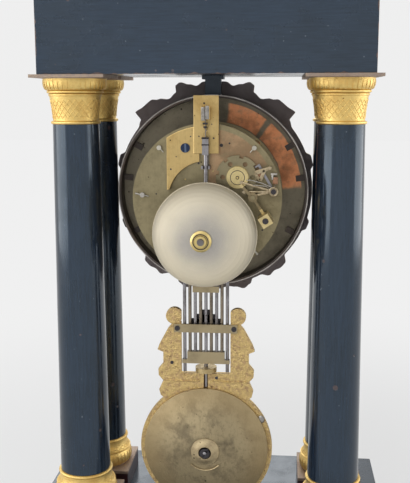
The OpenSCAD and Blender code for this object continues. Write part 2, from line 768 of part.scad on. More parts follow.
// Click: a pawl on its stud whose beak lies behind a ratchet tooth
click_beak = [[0, 8.9], [-0.25, 8.6], [-0.25, 6.95], [-0.75, 7.05], [-1.6, 7.75], [-6, 8], [-7.4, 9]];
module click(at) {
    stud = at + click_at;
    color(steel) difference() {
        union() {
            rod_y(stud, front_face_y - 1, 1.5, 2.2);
            stand(at, front_face_y - 1, 1.5) polygon(layout * click_beak);
        }
        rod_y(stud, front_face_y + 1, 6, click_stud_r + run_gap);
    }
}
module going_click() {
    click(going_at);
}
module strike_click() {
    click(strike_at);
}
module intermediate_wheel() {
    color(brass) {
        arbor(inter_at, arbor_r);
        train_pinion(inter_at, going_at, great_n, slow_leaves, great_layer + 0.5);
        train_wheel(inter_at, centre_at, inter_n, slow_leaves, inter_layer, 5);
    }
}
module centre_wheel() {
    color(brass) {
        rod_y(centre_at, inner_y - pass_gap, inner_y - pass_gap - minute_hand_y + 3, centre_arbor_r);
        rod_y(centre_at, back_face_y - pass_gap, plates_t + 2, centre_arbor_r - 0.4);
        train_pinion(centre_at, inter_at, inter_n, slow_leaves, inter_layer);
        train_wheel(centre_at, third_at, centre_n, fast_leaves, centre_layer, 5);
    }
}
module third_wheel() {
    color(brass) {
        arbor(third_at, arbor_r);
        train_pinion(third_at, centre_at, centre_n, fast_leaves, centre_layer);
        train_wheel(third_at, escape_at, third_n, fast_leaves, third_layer, 5);
    }
}
escape_drop = span(escape_at, anchor_at);
escape_hub = 1.55;
escape_r = escape_drop - escape_hub - pass_gap;
module escape_wheel() {
    pitch = 360 / escape_n;
    color(brass) {
        arbor(escape_at, arbor_r);
        train_pinion(escape_at, third_at, third_n, fast_leaves, third_layer);
        stand(escape_at, layer_y(escape_layer), wheel_t) difference() {
            polygon([
                for (i = [0 : escape_n - 1], p = [[-1.6, -0.3], [-0.8, -0.12], [0, -0.06], [0, 0.06], [-1.6, 0.3]])
                    (escape_r + p[0]) * [cos(90 + (i + p[1]) * pitch), sin(90 + (i + p[1]) * pitch)]
            ]);
            for (a = [45 : 90 : 315]) rotate(a) translate([escape_r * 0.52, 0]) circle(r = escape_r * 0.24);
        }
    }
}
// Anchor, arbor and crutch turn as one with the pendulum
module pallet_anchor() {
    nib_turn = 2.5 * 360 / escape_n;
    nib_clear = 0.3;
    fork_drop = 24;
    fork_gap = rod_r + 0.2 + pass_gap;
    color(steel) {
        arbor(anchor_at, arbor_r);
        rod_y(anchor_at, cock_y - pass_gap, cock_y - inner_y, pivot_r);
        stand(anchor_at, layer_y(escape_layer), wheel_t) {
            circle(r = escape_hub);
            for (s = [-1, 1]) {
                end = escape_at - anchor_at + (escape_r + 1.3) * [s * sin(nib_turn), cos(nib_turn)];
                rotate(atan2(end[1], end[0])) translate([0, -0.6]) square([norm(end) + 0.3, 1.2]);
                translate(escape_at - anchor_at) rotate(90 - s * nib_turn)
                    translate([escape_r + nib_clear, -0.35]) square([1.2, 0.7]);
            }
        }
        stand(anchor_at, crutch_y, crutch_t) {
            circle(r = 2.4);
            translate([-1.2, -fork_drop]) square([2.4, fork_drop]);
        }
        for (s = [-1, 1]) stand(anchor_at, pendulum_y + 2, pendulum_y + 2 - crutch_y + 1)
            translate([s * (fork_gap + 0.6) - 0.6, -fork_drop]) square([1.2, 2]);
        stand(anchor_at, crutch_y, crutch_t) translate([-fork_gap - 1.2, -fork_drop]) square([2 * fork_gap + 2.4, 2]);
    }
}

// Striking train

module second_wheel() {
    color(brass) {
        rod_y(second_at, inner_y - pass_gap, plates_gap - 2 * pass_gap, arbor_r);
        rod_y(second_at, back_face_y + 5.5, plates_gap + plates_t + 5.5 - pass_gap, arbor_r);
        rod_y(second_at, front_in_y + 1, plates_t + 0.7, pivot_r);
        train_pinion(second_at, strike_at, great_n, slow_leaves, great_layer + 0.5);
        train_wheel(second_at, pin_at, second_n, fast_leaves, second_layer, 4);
    }
}
// Count wheel behind the back plate, notched once for each hour group
count_r = 14;
notch_gap = 0.9;
count_y = back_face_y + 2.2;
nose_w = 1;
notch_w = nose_w + 2 * notch_gap;
function notch_turn(i) = 360 * (i * i + 5 * i) / 204;
lever_clear = 1.6;
lever_ring = count_r * layout + lever_clear;
lever_len = sqrt(pow(span(lever_at, second_at), 2) - lever_ring * lever_ring);
lever_lean = bearing(lever_at, second_at) + asin(lever_ring / span(lever_at, second_at));
lever_nose = lever_at + lever_len * [cos(lever_lean), sin(lever_lean)];
lever_turn = bearing(second_at, lever_nose);
module count_wheel() {
    r = count_r * layout;
    color(gilt) difference() {
        union() {
            stand(second_at, count_y, 1.4) difference() {
                circle(r = r);
                for (i = [0 : 11]) rotate(lever_turn + notch_turn(i)) translate([r - 1.8, -notch_w / 2])
                    square([4, notch_w]);
                for (a = [30 : 60 : 330]) rotate(lever_turn + a) translate([r * 0.68, 0]) circle(r = r * 0.11);
            }
            rod_y(second_at, count_y + 2.6, 3.2, 7 * layout);
        }
        rod_y(second_at, count_y + 4, 8, arbor_r + run_gap);
    }
}
module pin_wheel() {
    pin_ring = 4.6 * layout;
    color(brass) {
        arbor(pin_at, fine_r);
        train_pinion(pin_at, second_at, second_n, fast_leaves, second_layer);
        train_wheel(pin_at, lock_at, pin_n, fast_leaves, pin_layer, 5);
        for (i = [0 : 9]) rod_y(pin_at + pin_ring * [cos(i * 36), sin(i * 36)],
            layer_y(pin_layer) - wheel_t / 2, 2, 0.45);
        stand(pin_at, layer_y(pin_layer), wheel_t) difference() {
            circle(r = pin_ring + 0.8);
            circle(r = pin_ring - 0.8);
        }
    }
}
module locking_wheel() {
    color(brass) {
        arbor(lock_at, fine_r);
        train_pinion(lock_at, pin_at, pin_n, fast_leaves, pin_layer);
        train_wheel(lock_at, warn_at, lock_n, lock_leaves, lock_layer, 4);
    }
}
module warning_wheel() {
    color(brass) {
        arbor(warn_at, fine_r);
        train_pinion(warn_at, lock_at, lock_n, lock_leaves, lock_layer);
        train_wheel(warn_at, fly_at, warn_n, fly_leaves, warn_layer, 4);
    }
}
// Fly: two thin vanes that brake the striking
module fly() {
    vane_r = 5.2 * layout;
    color(brass) {
        arbor(fly_at, fine_r);
        train_pinion(fly_at, warn_at, warn_n, fly_leaves, warn_layer);
        stand(fly_at, layer_y(fly_layer), 3.6) {
            circle(r = 1.4);
            square([2 * vane_r, 0.5], center = true);
        }
    }
}
// Locking lever: its nose drops into the notches of the count wheel
module strike_lever() {
    nose_depth = 1.2;
    color(steel) difference() {
        union() {
            rod_y(lever_at, count_y + 0.6, 2.2, 2.4);
            stand(lever_at, count_y, 1.2) rotate(lever_lean) {
                translate([0, -0.8]) square([lever_len + 0.6, 1.6]);
                translate([lever_len - nose_w / 2, -lever_clear - nose_depth]) square([nose_w, lever_clear + nose_depth]);
            }
        }
        rod_y(lever_at, count_y + 2, 6, lever_stud_r + run_gap);
    }
}

// Pendulum, modelled hanging at rest

grid_rise = 118;
grid_top = bob_z + grid_rise;
grid_low = grid_top - grid_len;
grid_half = 4 * rod_pitch;
rating_r = 1.3;
lyre_gap = 1.1;
strip_len = 18;
strip_drop = 6;
ferrule_w = 4;
ferrule_h = 10;
strap_rise = 79.5;
strap_h = 5.5;
strap_t = 1.5;
nut_rise = 52.6;
nut_t = 3;
hang_r = rod_r + 0.2;
module bar(x, z, h, t) {
    translate([-x, pendulum_y - t / 2, z]) cube([2 * x, t, h]);
}
module upright(x, z0, z1, r) {
    translate([x, pendulum_y, z0]) cylinder(r = r, h = z1 - z0);
}
// Spring strip, its lower ferrule and the hanging rod
module suspension() {
    strip_low = swing_z - strip_drop;
    color(steel) {
        translate([-0.15, pendulum_y - 2.5, strip_low]) cube([0.3, 5, strip_len]);
        translate([-ferrule_w / 2, pendulum_y - 3, strip_low + 1 - ferrule_h]) cube([ferrule_w, 6, ferrule_h]);
        upright(0, grid_top + 2, strip_low + 2 - ferrule_h, hang_r);
    }
}
module gridiron_steel() {
    tail = 7;
    color(steel) {
        for (i = [-2, 0, 2]) upright(i * rod_pitch, grid_low + 3, grid_top + 2, rod_r);
        for (i = [-4, 4]) upright(i * rod_pitch, grid_low - tail, grid_top + 2, rod_r);
        upright(0, bob_z + bob_r + 0.5, grid_low, rating_r);
    }
}
module gridiron_brass() {
    top_h = 4;
    block_z = grid_low - 1;
    color(brass) {
        difference() {
            union() {
                for (i = [-3, -1, 1, 3]) upright(i * rod_pitch, grid_low, grid_top, rod_r);
                bar(grid_half + 2, grid_top, top_h, 5);
                bar(2 * rod_pitch + 1.6, grid_top - 12, 4, 3.4);
                bar(3 * rod_pitch + 1.8, block_z, 8, 4);
                bar(grid_half + rod_r + lyre_gap / 2, block_z, 2.5, 3.4);
            }
            for (i = [-4, -2, 0, 2, 4]) upright(i * rod_pitch, grid_low + 3, grid_top + 2, rod_r + run_gap);
            for (i = [-4, 4]) upright(i * rod_pitch, block_z - 1, grid_low + 4, rod_r + run_gap);
            upright(0, block_z - 1, grid_low, rating_r + run_gap);
            upright(0, grid_top + 2, grid_top + 6, hang_r + run_gap);
        }
        translate([-lyre_in - 4.5, pendulum_y + frame_t / 2, bob_z + strap_rise])
            cube([2 * lyre_in + 9, strap_t, strap_h]);
    }
}
// Rating nut: a milled disc on the threaded rod
module rating_nut() {
    color(gilt) difference() {
        upright(0, bob_z + nut_rise, bob_z + nut_rise + nut_t, nut_r);
        upright(0, bob_z + nut_rise - 1, bob_z + nut_rise + nut_t + 1, rating_r + run_gap);
    }
}
// Cast frame: ring round the bob and a lyre with scrolled sides
lyre_in = grid_half + rod_r + lyre_gap;
lyre_side = [
    [21.2, 85.7], [25, 81.4], [30.6, 71], [32, 67], [28.2, 65.4], [28.2, 57.8],
    [31.6, 53.6], [31.4, 49.4], [28.4, 45.8], [31.2, 39.6], [30.2, 35.6], [26, 32.5]
];
module pendulum_frame() {
    finial_r = 5.5;
    finial_rise = 90;
    window_z = 51.2;
    window_h = finial_rise + finial_r;
    color(gilt) translate([0, pendulum_y + frame_t / 2, bob_z]) rotate([90, 0, 0]) difference() {
        union() {
            cylinder(r = bob_ring_r, h = frame_t);
            linear_extrude(frame_t)
                polygon(concat(lyre_side, [for (i = [len(lyre_side) - 1 : -1 : 0]) [-lyre_side[i][0], lyre_side[i][1]]]));
            for (s = [-1, 1]) translate([s * (lyre_in + finial_r - 1), finial_rise, 0]) cylinder(r = finial_r, h = frame_t);
        }
        translate([0, 0, -1]) cylinder(r = bob_r - 4, h = frame_t + 2);
        translate([-lyre_in, window_z, -1]) cube([2 * lyre_in, window_h, frame_t + 2]);
        translate([0, bob_r - 8, frame_t / 2]) rotate([-90, 0, 0]) cylinder(r = rating_r + run_gap, h = window_z);
        translate([-rating_r - run_gap, bob_r - 8, -1]) cube([2 * (rating_r + run_gap), window_z, frame_t / 2 + 1]);
    }
}
// Bob: a brass lens with a wide back plate that seats on the ring
module bob() {
    back_r = bob_r;
    front_r = bob_r - 4 - pass_gap;
    color(brass) translate([0, pendulum_y + frame_t / 2, bob_z]) rotate([-90, 0, 0]) rotate_extrude() polygon(concat(
        [[0, -frame_t - bob_bulge / 2]],
        [for (t = [0.2 : 0.2 : 1]) [front_r * t, -frame_t - bob_bulge / 2 * (1 - t * t)]],
        [[front_r, 0], [back_r, 0]],
        [for (t = [1 : -0.125 : 0.125]) [back_r * t, 1.5 + bob_bulge * (1 - t * t)]],
        [[0, 1.5 + bob_bulge]]
    ));
}

base_block();
base_feet();
column_blocks();
column_base(-1, -1);  // column_base_front_left
column_base(1, -1);  // column_base_front_right
column_base(-1, 1);  // column_base_rear_left
column_base(1, 1);  // column_base_rear_right
column(-1, -1);  // column_front_left
column(1, -1);  // column_front_right
column(-1, 1);  // column_rear_left
column(1, 1);  // column_rear_right
capital(-1, -1);  // capital_front_left
capital(1, -1);  // capital_front_right
capital(-1, 1);  // capital_rear_left
capital(1, 1);  // capital_rear_right
entablature();
cornice();
hanger_stem();
drum_ring();
false_plate();
dial();
bezel();
glass_ring();
dial_glass();
front_plate();
back_plate();
pillars();
back_cock();
bell_stand();
bell();
going_barrel();
going_arbor();
going_click();
intermediate_wheel();
centre_wheel();
third_wheel();
escape_wheel();
pallet_anchor();
strike_barrel();
strike_arbor();
strike_click();
second_wheel();
count_wheel();
pin_wheel();
locking_wheel();
warning_wheel();
fly();
strike_lever();
hammer();
cannon_pinion();
minute_wheel();
hour_wheel();
hour_hand();
minute_hand();
suspension();
gridiron_steel();
gridiron_brass();
pendulum_frame();
bob();
rating_nut();
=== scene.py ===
"""Looks of a portico clock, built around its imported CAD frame."""

import logging
import math
from dataclasses import dataclass
from enum import Enum
from functools import cache
from itertools import product
from typing import Any, Sequence

import bmesh
import bpy
from mathutils import Matrix, Vector


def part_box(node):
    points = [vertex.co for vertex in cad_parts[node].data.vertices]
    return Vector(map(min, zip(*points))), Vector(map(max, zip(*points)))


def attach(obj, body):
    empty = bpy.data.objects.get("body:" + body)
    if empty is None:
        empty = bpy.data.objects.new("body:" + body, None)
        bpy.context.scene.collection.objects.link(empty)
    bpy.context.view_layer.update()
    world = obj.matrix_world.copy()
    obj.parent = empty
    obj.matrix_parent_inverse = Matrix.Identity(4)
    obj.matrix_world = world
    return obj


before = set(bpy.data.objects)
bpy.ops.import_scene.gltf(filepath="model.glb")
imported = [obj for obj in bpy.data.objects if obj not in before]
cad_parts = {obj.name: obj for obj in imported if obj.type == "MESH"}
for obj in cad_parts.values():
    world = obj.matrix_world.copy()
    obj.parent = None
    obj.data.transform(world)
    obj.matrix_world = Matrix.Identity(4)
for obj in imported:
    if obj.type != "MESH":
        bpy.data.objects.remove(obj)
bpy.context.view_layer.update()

LOG = logging.getLogger("portico_clock")
Triple = tuple[float, float, float]
Curve = Sequence[tuple[float, float]]
Node = bpy.types.Node
Socket = bpy.types.NodeSocket
Material = bpy.types.Material
TAU = 2 * math.pi
SHARP = math.radians(40)
MERGE_GAP = 1e-6
WELD_GAP = 1e-5
CORNERS = ("front_left", "front_right", "rear_left", "rear_right")


class Way(Enum):
    """Directions that turned pieces and screws look along."""

    REAR = Vector((0, 1, 0))
    FRONT = Vector((0, -1, 0))
    ACROSS = Vector((1, 0, 0))
    UP = Vector((0, 0, 1))


class Body(Enum):
    """CAD bodies that added pieces ride on."""

    CASE = "case"
    SECOND = "second"
    HAMMER = "hammer_arm"
    PENDULUM = "pendulum"


class Slot(Enum):
    """Material slots of the record."""

    GILT = "gilt_brass"
    BRASS = "aged_brass"
    STEEL = "steel"
    BLUED = "blued_steel"
    DARK = "dark_metal"
    COPPER = "copper_plate"
    ENAMEL = "enamel"


def mm(*values: float) -> Vector:
    """Gives a point or size in metres from three lengths in millimetres."""
    return Vector(values) / 1000


def shade(colour: Triple, share: float) -> Triple:
    """Gives a colour times a share."""
    return tuple(share * part for part in colour)


def box_of(node: str) -> tuple[Triple, Triple]:
    """Gives the middle and half sizes of a CAD node's box in metres."""
    low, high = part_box(node)
    return tuple((low + high) / 2), tuple((high - low) / 2)


# Shading


class Graph:
    """Adds nodes to one node tree and joins their sockets."""

    def __init__(self, tree: bpy.types.NodeTree) -> None:
        """Keeps the tree that the nodes go into."""
        self.tree = tree

    def add(self, kind: str, settings: dict[str, Any] | None = None, **inputs: Any) -> Node:
        """Adds a node, sets its options and fills or links its inputs.

        Args:
            kind: Blender's name of the node type.
            settings: Options of the node by attribute name.
            inputs: Input values or sockets. A name like i6 means the input with that number.

        Returns:
            The new node.
        """
        node = self.tree.nodes.new(kind)
        for name, value in (settings or {}).items():
            setattr(node, name, value)
        for name, value in inputs.items():
            numbered = name[0] == "i" and name[1:].isdigit()
            self.feed(node.inputs[int(name[1:]) if numbered else name], value)
        return node

    def feed(self, socket: Socket, value: Any) -> None:
        """Links a socket into an input, or sets the input's own value.

        Args:
            socket: The input.
            value: An output socket, a node whose first output is meant, or a plain value.
        """
        if isinstance(value, Node):
            value = value.outputs[0]
        if isinstance(value, Socket):
            self.tree.links.new(value, socket)
        elif socket.type == "RGBA" and len(value) == 3:
            socket.default_value = (*value, 1.0)
        else:
            socket.default_value = value

    def operate(self, kind: str, operation: str, values: Sequence[Any]) -> Node:
        """Adds a Math or Vector Math node.

        Args:
            kind: Blender's name of the node type.
            operation: Blender's name of the operation.
            values: Its inputs in order.

        Returns:
            The new node.
        """
        node = self.add(kind, {"operation": operation})
        for socket, value in zip(node.inputs, values):
            self.feed(socket, value)
        return node

    def math(self, operation: str, *values: Any) -> Socket:
        """Works out a plain value from one to three inputs."""
        return self.operate("ShaderNodeMath", operation, values).outputs[0]

    def vector(self, operation: str, *values: Any) -> Node:
        """Works out a vector from one or two inputs."""
        return self.operate("ShaderNodeVectorMath", operation, values)

    def times(self, first: Any, second: Any) -> Socket:
        """Multiplies two values."""
        return self.math("MULTIPLY", first, second)

    def madd(self, value: Any, share: float, base: Any) -> Socket:
        """Adds a share of one value to another."""
        return self.math("MULTIPLY_ADD", value, share, base)

    def split(self, vector: Any) -> Any:
        """Gives the three parts of a vector."""
        return self.add("ShaderNodeSeparateXYZ", Vector=vector).outputs

    def noise(self, where: Any, scale: Any, detail: float, roughness: float = 0.5) -> Socket:
        """Adds a cloudy noise.

        Args:
            where: The coordinates.
            scale: Its scale.
            detail: Its number of finer layers.
            roughness: The share of each finer layer.

        Returns:
            The noise, about 0.5 in its middle.
        """
        settings = {"Vector": where, "Scale": scale, "Detail": detail, "Roughness": roughness}
        return self.add("ShaderNodeTexNoise", **settings).outputs[0]

    def mix(self, share: Any, first: Any, second: Any) -> Socket:
        """Mixes two colours by the share of the second one."""
        node = self.add("ShaderNodeMix", {"data_type": "RGBA"}, i0=share, i6=first, i7=second)
        return node.outputs[2]

    def ramp(self, value: Any, low: Any, high: Any, to: Sequence[float] = (0.0, 1.0)) -> Socket:
        """Maps a range smoothly onto another.

        Args:
            value: The input.
            low: The input that gives the first result.
            high: The input that gives the second result.
            to: The two results.

        Returns:
            The mapped value.
        """
        node = self.add("ShaderNodeMapRange", {"interpolation_type": "SMOOTHSTEP"})
        for number, item in enumerate((value, low, high, *to)):
            self.feed(node.inputs[number], item)
        return node.outputs[0]


class Effects:
    """Shader node groups that several finishes share, each built once."""

    made: dict[str, bpy.types.NodeTree] = {}

    @classmethod
    def start(
        cls, name: str, vectors: Sequence[str], values: Sequence[str], outputs: Sequence[str]
    ) -> tuple[Graph, Any, Any]:
        """Starts a group with its sockets.

        Args:
            name: The group's name.
            vectors: Names of the inputs that are vectors.
            values: Names of the inputs that are plain values.
            outputs: Names of the outputs, all plain values.

        Returns:
            The graph, the sockets of its inputs and those of its outputs.
        """
        tree = bpy.data.node_groups.new(name, "ShaderNodeTree")
        for label in vectors:
            tree.interface.new_socket(label, in_out="INPUT", socket_type="NodeSocketVector")
        for label in values:
            tree.interface.new_socket(label, in_out="INPUT", socket_type="NodeSocketFloat")
        for label in outputs:
            tree.interface.new_socket(label, in_out="OUTPUT", socket_type="NodeSocketFloat")
        graph = Graph(tree)
        cls.made[name] = tree
        return graph, graph.add("NodeGroupInput").outputs, graph.add("NodeGroupOutput").inputs

    @classmethod
    def build(cls) -> None:
        """Builds every group."""
        cls.mottle()
        cls.specks()
        cls.hairlines()
        cls.turned()
        cls.edges()

    @classmethod
    def mottle(cls) -> None:
        """Makes soft cloudy patches, as of tarnish."""
        graph, given, out = cls.start("mottle", ["Vector"], ["Scale", "Low", "High"], ["Mask"])
        noise = graph.noise(given["Vector"], given["Scale"], 5.0, 0.62)
        graph.feed(out["Mask"], graph.ramp(noise, given["Low"], given["High"]))

    @classmethod
    def specks(cls) -> None:
        """Makes scattered small spots of uneven size, as of pits and chips."""
        graph, given, out = cls.start("specks", ["Vector"], ["Scale", "Amount"], ["Mask"])
        warp = graph.noise(given["Vector"], given["Scale"], 2.0)
        cells = graph.add("ShaderNodeTexVoronoi", Vector=given["Vector"], Scale=given["Scale"])
        chance = graph.add("ShaderNodeSeparateColor", Color=cells.outputs["Color"])
        size = graph.times(graph.math("POWER", chance, 3.0), given["Amount"])
        rough = graph.times(size, graph.math("ADD", warp, 0.4))
        edge = graph.math("SUBTRACT", rough, cells.outputs["Distance"])
        graph.feed(out["Mask"], graph.ramp(edge, 0.0, 0.05))

    @classmethod
    def hairlines(cls) -> None:
        """Makes fine lines drawn out along one direction, as of brushing or grain."""
        graph, given, out = cls.start("hairlines", ["Vector", "Stretch"], ["Scale"], ["Mask"])
        drawn = graph.vector("MULTIPLY", given["Vector"], given["Stretch"])
        noise = graph.noise(drawn, given["Scale"], 4.0, 0.7)
        graph.feed(out["Mask"], graph.ramp(noise, 0.3, 0.7))

    @classmethod
    def turned(cls) -> None:
        """Measures radius and turn about an axis along Y and makes fine lathe rings."""
        labels = ["Radius", "Rings", "Turn"]
        graph, given, out = cls.start("turned", ["Vector", "Centre"], ["Spacing"], labels)
        across, _, up = graph.split(graph.vector("SUBTRACT", given["Vector"], given["Centre"]))
        radius = graph.math("SQRT", graph.math("ADD", graph.times(across, across), graph.times(up, up)))
        phase = graph.math("DIVIDE", graph.times(radius, TAU), given["Spacing"])
        graph.feed(out["Radius"], radius)
        graph.feed(out["Rings"], graph.madd(graph.math("SINE", phase), 0.5, 0.5))
        graph.feed(out["Turn"], graph.math("ARCTAN2", across, up))

    @classmethod
    def edges(cls) -> None:
        """Finds the worn edges of a box from its middle and half sizes."""
        vectors = ["Vector", "Middle", "Half"]
        graph, given, out = cls.start("box_edges", vectors, ["Width"], ["Mask"])
        away = graph.vector("SUBTRACT", given["Vector"], given["Middle"])
        depth = graph.vector("SUBTRACT", given["Half"], graph.vector("ABSOLUTE", away))
        a, b, c = graph.split(depth)
        least = graph.math("MINIMUM", a, b)
        most = graph.math("MAXIMUM", a, b)
        second = graph.math("MAXIMUM", least, graph.math("MINIMUM", most, c))
        noise = graph.noise(given["Vector"], 160.0, 4.0)
        reach = graph.times(given["Width"], graph.ramp(noise, 0.42, 0.72, (0.1, 1.6)))
        graph.feed(out["Mask"], graph.ramp(graph.math("DIVIDE", second, reach), 1.0, 0.4))


class Surface(Graph):
    """The graph of one material, with its shader and object coordinates."""

    def __init__(self, name: str) -> None:
        """Makes the material and its shader.

        Args:
            name: The material's name.
        """
        self.material = bpy.data.materials.get(name) or bpy.data.materials.new(name)
        self.material.use_nodes = True
        super().__init__(self.material.node_tree)
        self.tree.nodes.clear()
        shader = self.add("ShaderNodeBsdfPrincipled")
        self.add("ShaderNodeOutputMaterial", Surface=shader)
        self.shader = shader.inputs
        self.where = self.add("ShaderNodeTexCoord").outputs["Object"]

    def effect(self, name: str, **inputs: Any) -> Any:
        """Places a shared effect.

        Args:
            name: The group's name.
            inputs: Its input values apart from the coordinates.

        Returns:
            The group's outputs.
        """
        settings = {"node_tree": Effects.made[name]}
        return self.add("ShaderNodeGroup", settings, Vector=self.where, **inputs).outputs

    def mask(self, name: str, **inputs: Any) -> Socket:
        """Places a shared effect and gives its mask."""
        return self.effect(name, **inputs)["Mask"]

    def cloud(self, scale: float, detail: float, roughness: float = 0.5) -> Socket:
        """Adds a cloudy noise over the surface."""
        return self.noise(self.where, scale, detail, roughness)

    def along(self, axis: int) -> Socket:
        """Gives the surface's place along an axis, counted from zero."""
        return self.split(self.where)[axis]

    def paint(self, colour: Any, dull: Any) -> None:
        """Feeds the shader's colour and roughness."""
        self.feed(self.shader["Base Color"], colour)
        self.feed(self.shader["Roughness"], dull)

    def bump(self, height: Any, distance: float, strength: float = 1.0) -> None:
        """Feeds a height into the shader's normal.

        Args:
            height: The height's socket.
            distance: Depth of the relief in metres.
            strength: Share of the relief that shows.
        """
        node = self.add("ShaderNodeBump", Height=height, Distance=distance, Strength=strength)
        self.feed(self.shader["Normal"], node)


@dataclass(frozen=True)
class Finish:
    """A finish that makes its own node material."""

    name: str
    colour: Triple
    roughness: float = 0.4

    @cache
    def material(self) -> Material:
        """Makes the material once.

        Returns:
            The material, with its shader fed by this finish's nodes.
        """
        graph = Surface(self.name)
        self.dress(graph)
        return graph.material

    def dress(self, graph: Surface) -> None:
        """Feeds the material's shader."""
        raise NotImplementedError


@dataclass(frozen=True)
class Ebonised(Finish):
    """Black polish over wood, with chips, faint streaks and, on a box, rubbed edges."""

    wear_and_highlight: Triple = (0.09, 0.045, 0.028)
    box: tuple[Triple, Triple] | None = None
    wear: float = 0.0009
    dust: Triple = (0.16, 0.18, 0.2)
    streak: Triple = (1.0, 1.0, 0.06)

    def dress(self, graph: Surface) -> None:
        """Feeds the shader with polish, streaks and wear.

        Args:
            graph: The material's graph.
        """
        chips = graph.mask("specks", Scale=95.0, Amount=0.2)
        grain = graph.mask("hairlines", Stretch=self.streak, Scale=900.0)
        cloud = graph.mask("mottle", Scale=18.0, Low=0.36, High=0.66)
        dust = graph.mask("specks", Scale=230.0, Amount=0.15)
        black = graph.mix(cloud, self.colour, shade(self.colour, 0.45))
        lifted = graph.mix(graph.times(grain, 0.35), black, shade(self.colour, 2.4))
        dusty = graph.mix(graph.times(dust, 0.5), lifted, self.dust)
        colour = graph.mix(graph.times(chips, 0.5), dusty, self.wear_and_highlight)
        rub = chips
        if self.box is not None:
            middle, half = self.box
            edge = graph.mask("box_edges", Middle=middle, Half=half, Width=self.wear)
            colour = graph.mix(edge, colour, self.wear_and_highlight)
            rub = graph.math("MAXIMUM", chips, edge)
        smear = graph.ramp(cloud, 0.0, 1.0, (self.roughness, self.roughness + 0.16))
        graph.paint(colour, graph.madd(rub, 0.3, smear))
        graph.shader["Specular Tint"].default_value = (0.74, 0.88, 1.0, 1.0)
        graph.shader["Specular IOR Level"].default_value = 0.66
        height = graph.math("SUBTRACT", graph.times(grain, 0.12), rub)
        graph.bump(height, 0.00015, 0.5)


@dataclass(frozen=True)
class Layers:
    """Colour, roughness and height of a surface, as sockets."""

    colour: Any
    dull: Any
    height: Any


@dataclass(frozen=True)
class AgedMetal(Finish):
    """Metal with cloudy tarnish, spots and fine brushing."""

    tarnish: Triple = (0.2, 0.15, 0.07)
    spot: Triple = (0.05, 0.035, 0.02)
    cloud_scale: float = 55.0
    cloud_from: float = 0.4
    cloud_to: float = 0.75
    spots: float = 0.22
    spot_scale: float = 260.0
    brush: Triple = (1.0, 1.0, 1.0)
    relief: float = 0.00005
    shine: float = 1.0
    fine: float = 0.3
    front: Triple | None = None
    front_y: float = 0.0

    def dress(self, graph: Surface) -> None:
        """Feeds the shader with the metal's layers.

        Args:
            graph: The material's graph.
        """
        layers = self.coat(graph, self.aged(graph))
        graph.paint(layers.colour, layers.dull)
        graph.shader["Metallic"].default_value = self.shine
        graph.bump(layers.height, self.relief)

    def coat(self, graph: Surface, below: Layers) -> Layers:
        """Lays the finish's own layers over the aged metal, here none."""
        return below

    def aged(self, graph: Surface) -> Layers:
        """Makes the layers that every aged metal has.

        Args:
            graph: The material's graph.

        Returns:
            The layers.
        """
        cloud = graph.mask("mottle", Scale=self.cloud_scale, Low=self.cloud_from, High=self.cloud_to)
        pits = graph.mask("specks", Scale=self.spot_scale, Amount=self.spots)
        lines = graph.mask("hairlines", Stretch=self.brush, Scale=1400.0)
        fine = graph.mask("mottle", Scale=7.0 * self.cloud_scale, Low=0.48, High=0.74)
        clouded = graph.mix(cloud, self.colour, self.tarnish)
        base = graph.mix(graph.times(fine, self.fine), clouded, shade(self.tarnish, 0.5))
        streaked = graph.mix(graph.times(lines, 0.3), base, shade(self.colour, 0.72))
        colour = graph.mix(graph.times(pits, 0.85), streaked, self.spot)
        dull = graph.madd(lines, 0.06, graph.madd(cloud, 0.16, self.roughness))
        height = graph.math("SUBTRACT", graph.times(lines, 0.4), pits)
        return Layers(colour, graph.madd(pits, 0.25, dull), height)

    def gilded(self, graph: Surface, colour: Any) -> Any:
        """Lays gilding over the front face, where the finish has one.

        Args:
            graph: The material's graph.
            colour: The colour below it.

        Returns:
            The colour socket.
        """
        if self.front is None:
            return colour
        cloud = graph.mask("mottle", Scale=140.0, Low=0.45, High=0.8)
        gilt = graph.mix(graph.times(cloud, 0.6), self.front, shade(self.front, 0.7))
        near = graph.ramp(graph.along(1), self.front_y + 0.0004, self.front_y)
        return graph.mix(near, colour, gilt)


@dataclass(frozen=True)
class GiltCasting(AgedMetal):
    """Gilt over a rough casting, with brown left in the hollows."""

    grain: float = 420.0
    hollows: float = 0.55

    def lumps(self, graph: Surface) -> Socket:
        """Makes the grain of the casting."""
        return graph.cloud(self.grain, 6.0, 0.65)

    def coat(self, graph: Surface, below: Layers) -> Layers:
        """Lays the casting's grain and its brown hollows.

        Args:
            graph: The material's graph.
            below: The aged metal's layers.

        Returns:
            The layers with the grain.
        """
        lumps = self.lumps(graph)
        hollow = graph.times(graph.ramp(lumps, 0.5, 0.3), self.hollows)
        rough = graph.mix(hollow, below.colour, self.tarnish)
        height = graph.madd(lumps, 2.0, below.height)
        return Layers(self.gilded(graph, rough), below.dull, height)


@dataclass(frozen=True)
class GiltMount(GiltCasting):
    """Pressed gilt on a column, with duller brown plates below and above."""

    hollows: float = 0.5
    plate: Triple = (0.29, 0.235, 0.215)
    low: float = 0.07
    high: float = 0.355
    soft: float = 0.0002

    def coat(self, graph: Surface, below: Layers) -> Layers:
        """Lays gilt between the plates and brown on them.

        Args:
            graph: The material's graph.
            below: The aged metal's layers.

        Returns:
            The layers with the plates.
        """
        rich = super().coat(graph, below)
        level = graph.along(2)
        lower = graph.ramp(level, self.low + self.soft, self.low - self.soft)
        upper = graph.ramp(level, self.high - self.soft, self.high + self.soft)
        blotch = graph.ramp(self.lumps(graph), 0.3, 0.62, (1.0, 0.85))
        plain = graph.times(graph.math("MAXIMUM", lower, upper), blotch)
        colour = graph.mix(plain, rich.colour, self.plate)
        return Layers(colour, graph.madd(plain, 0.15, rich.dull), rich.height)


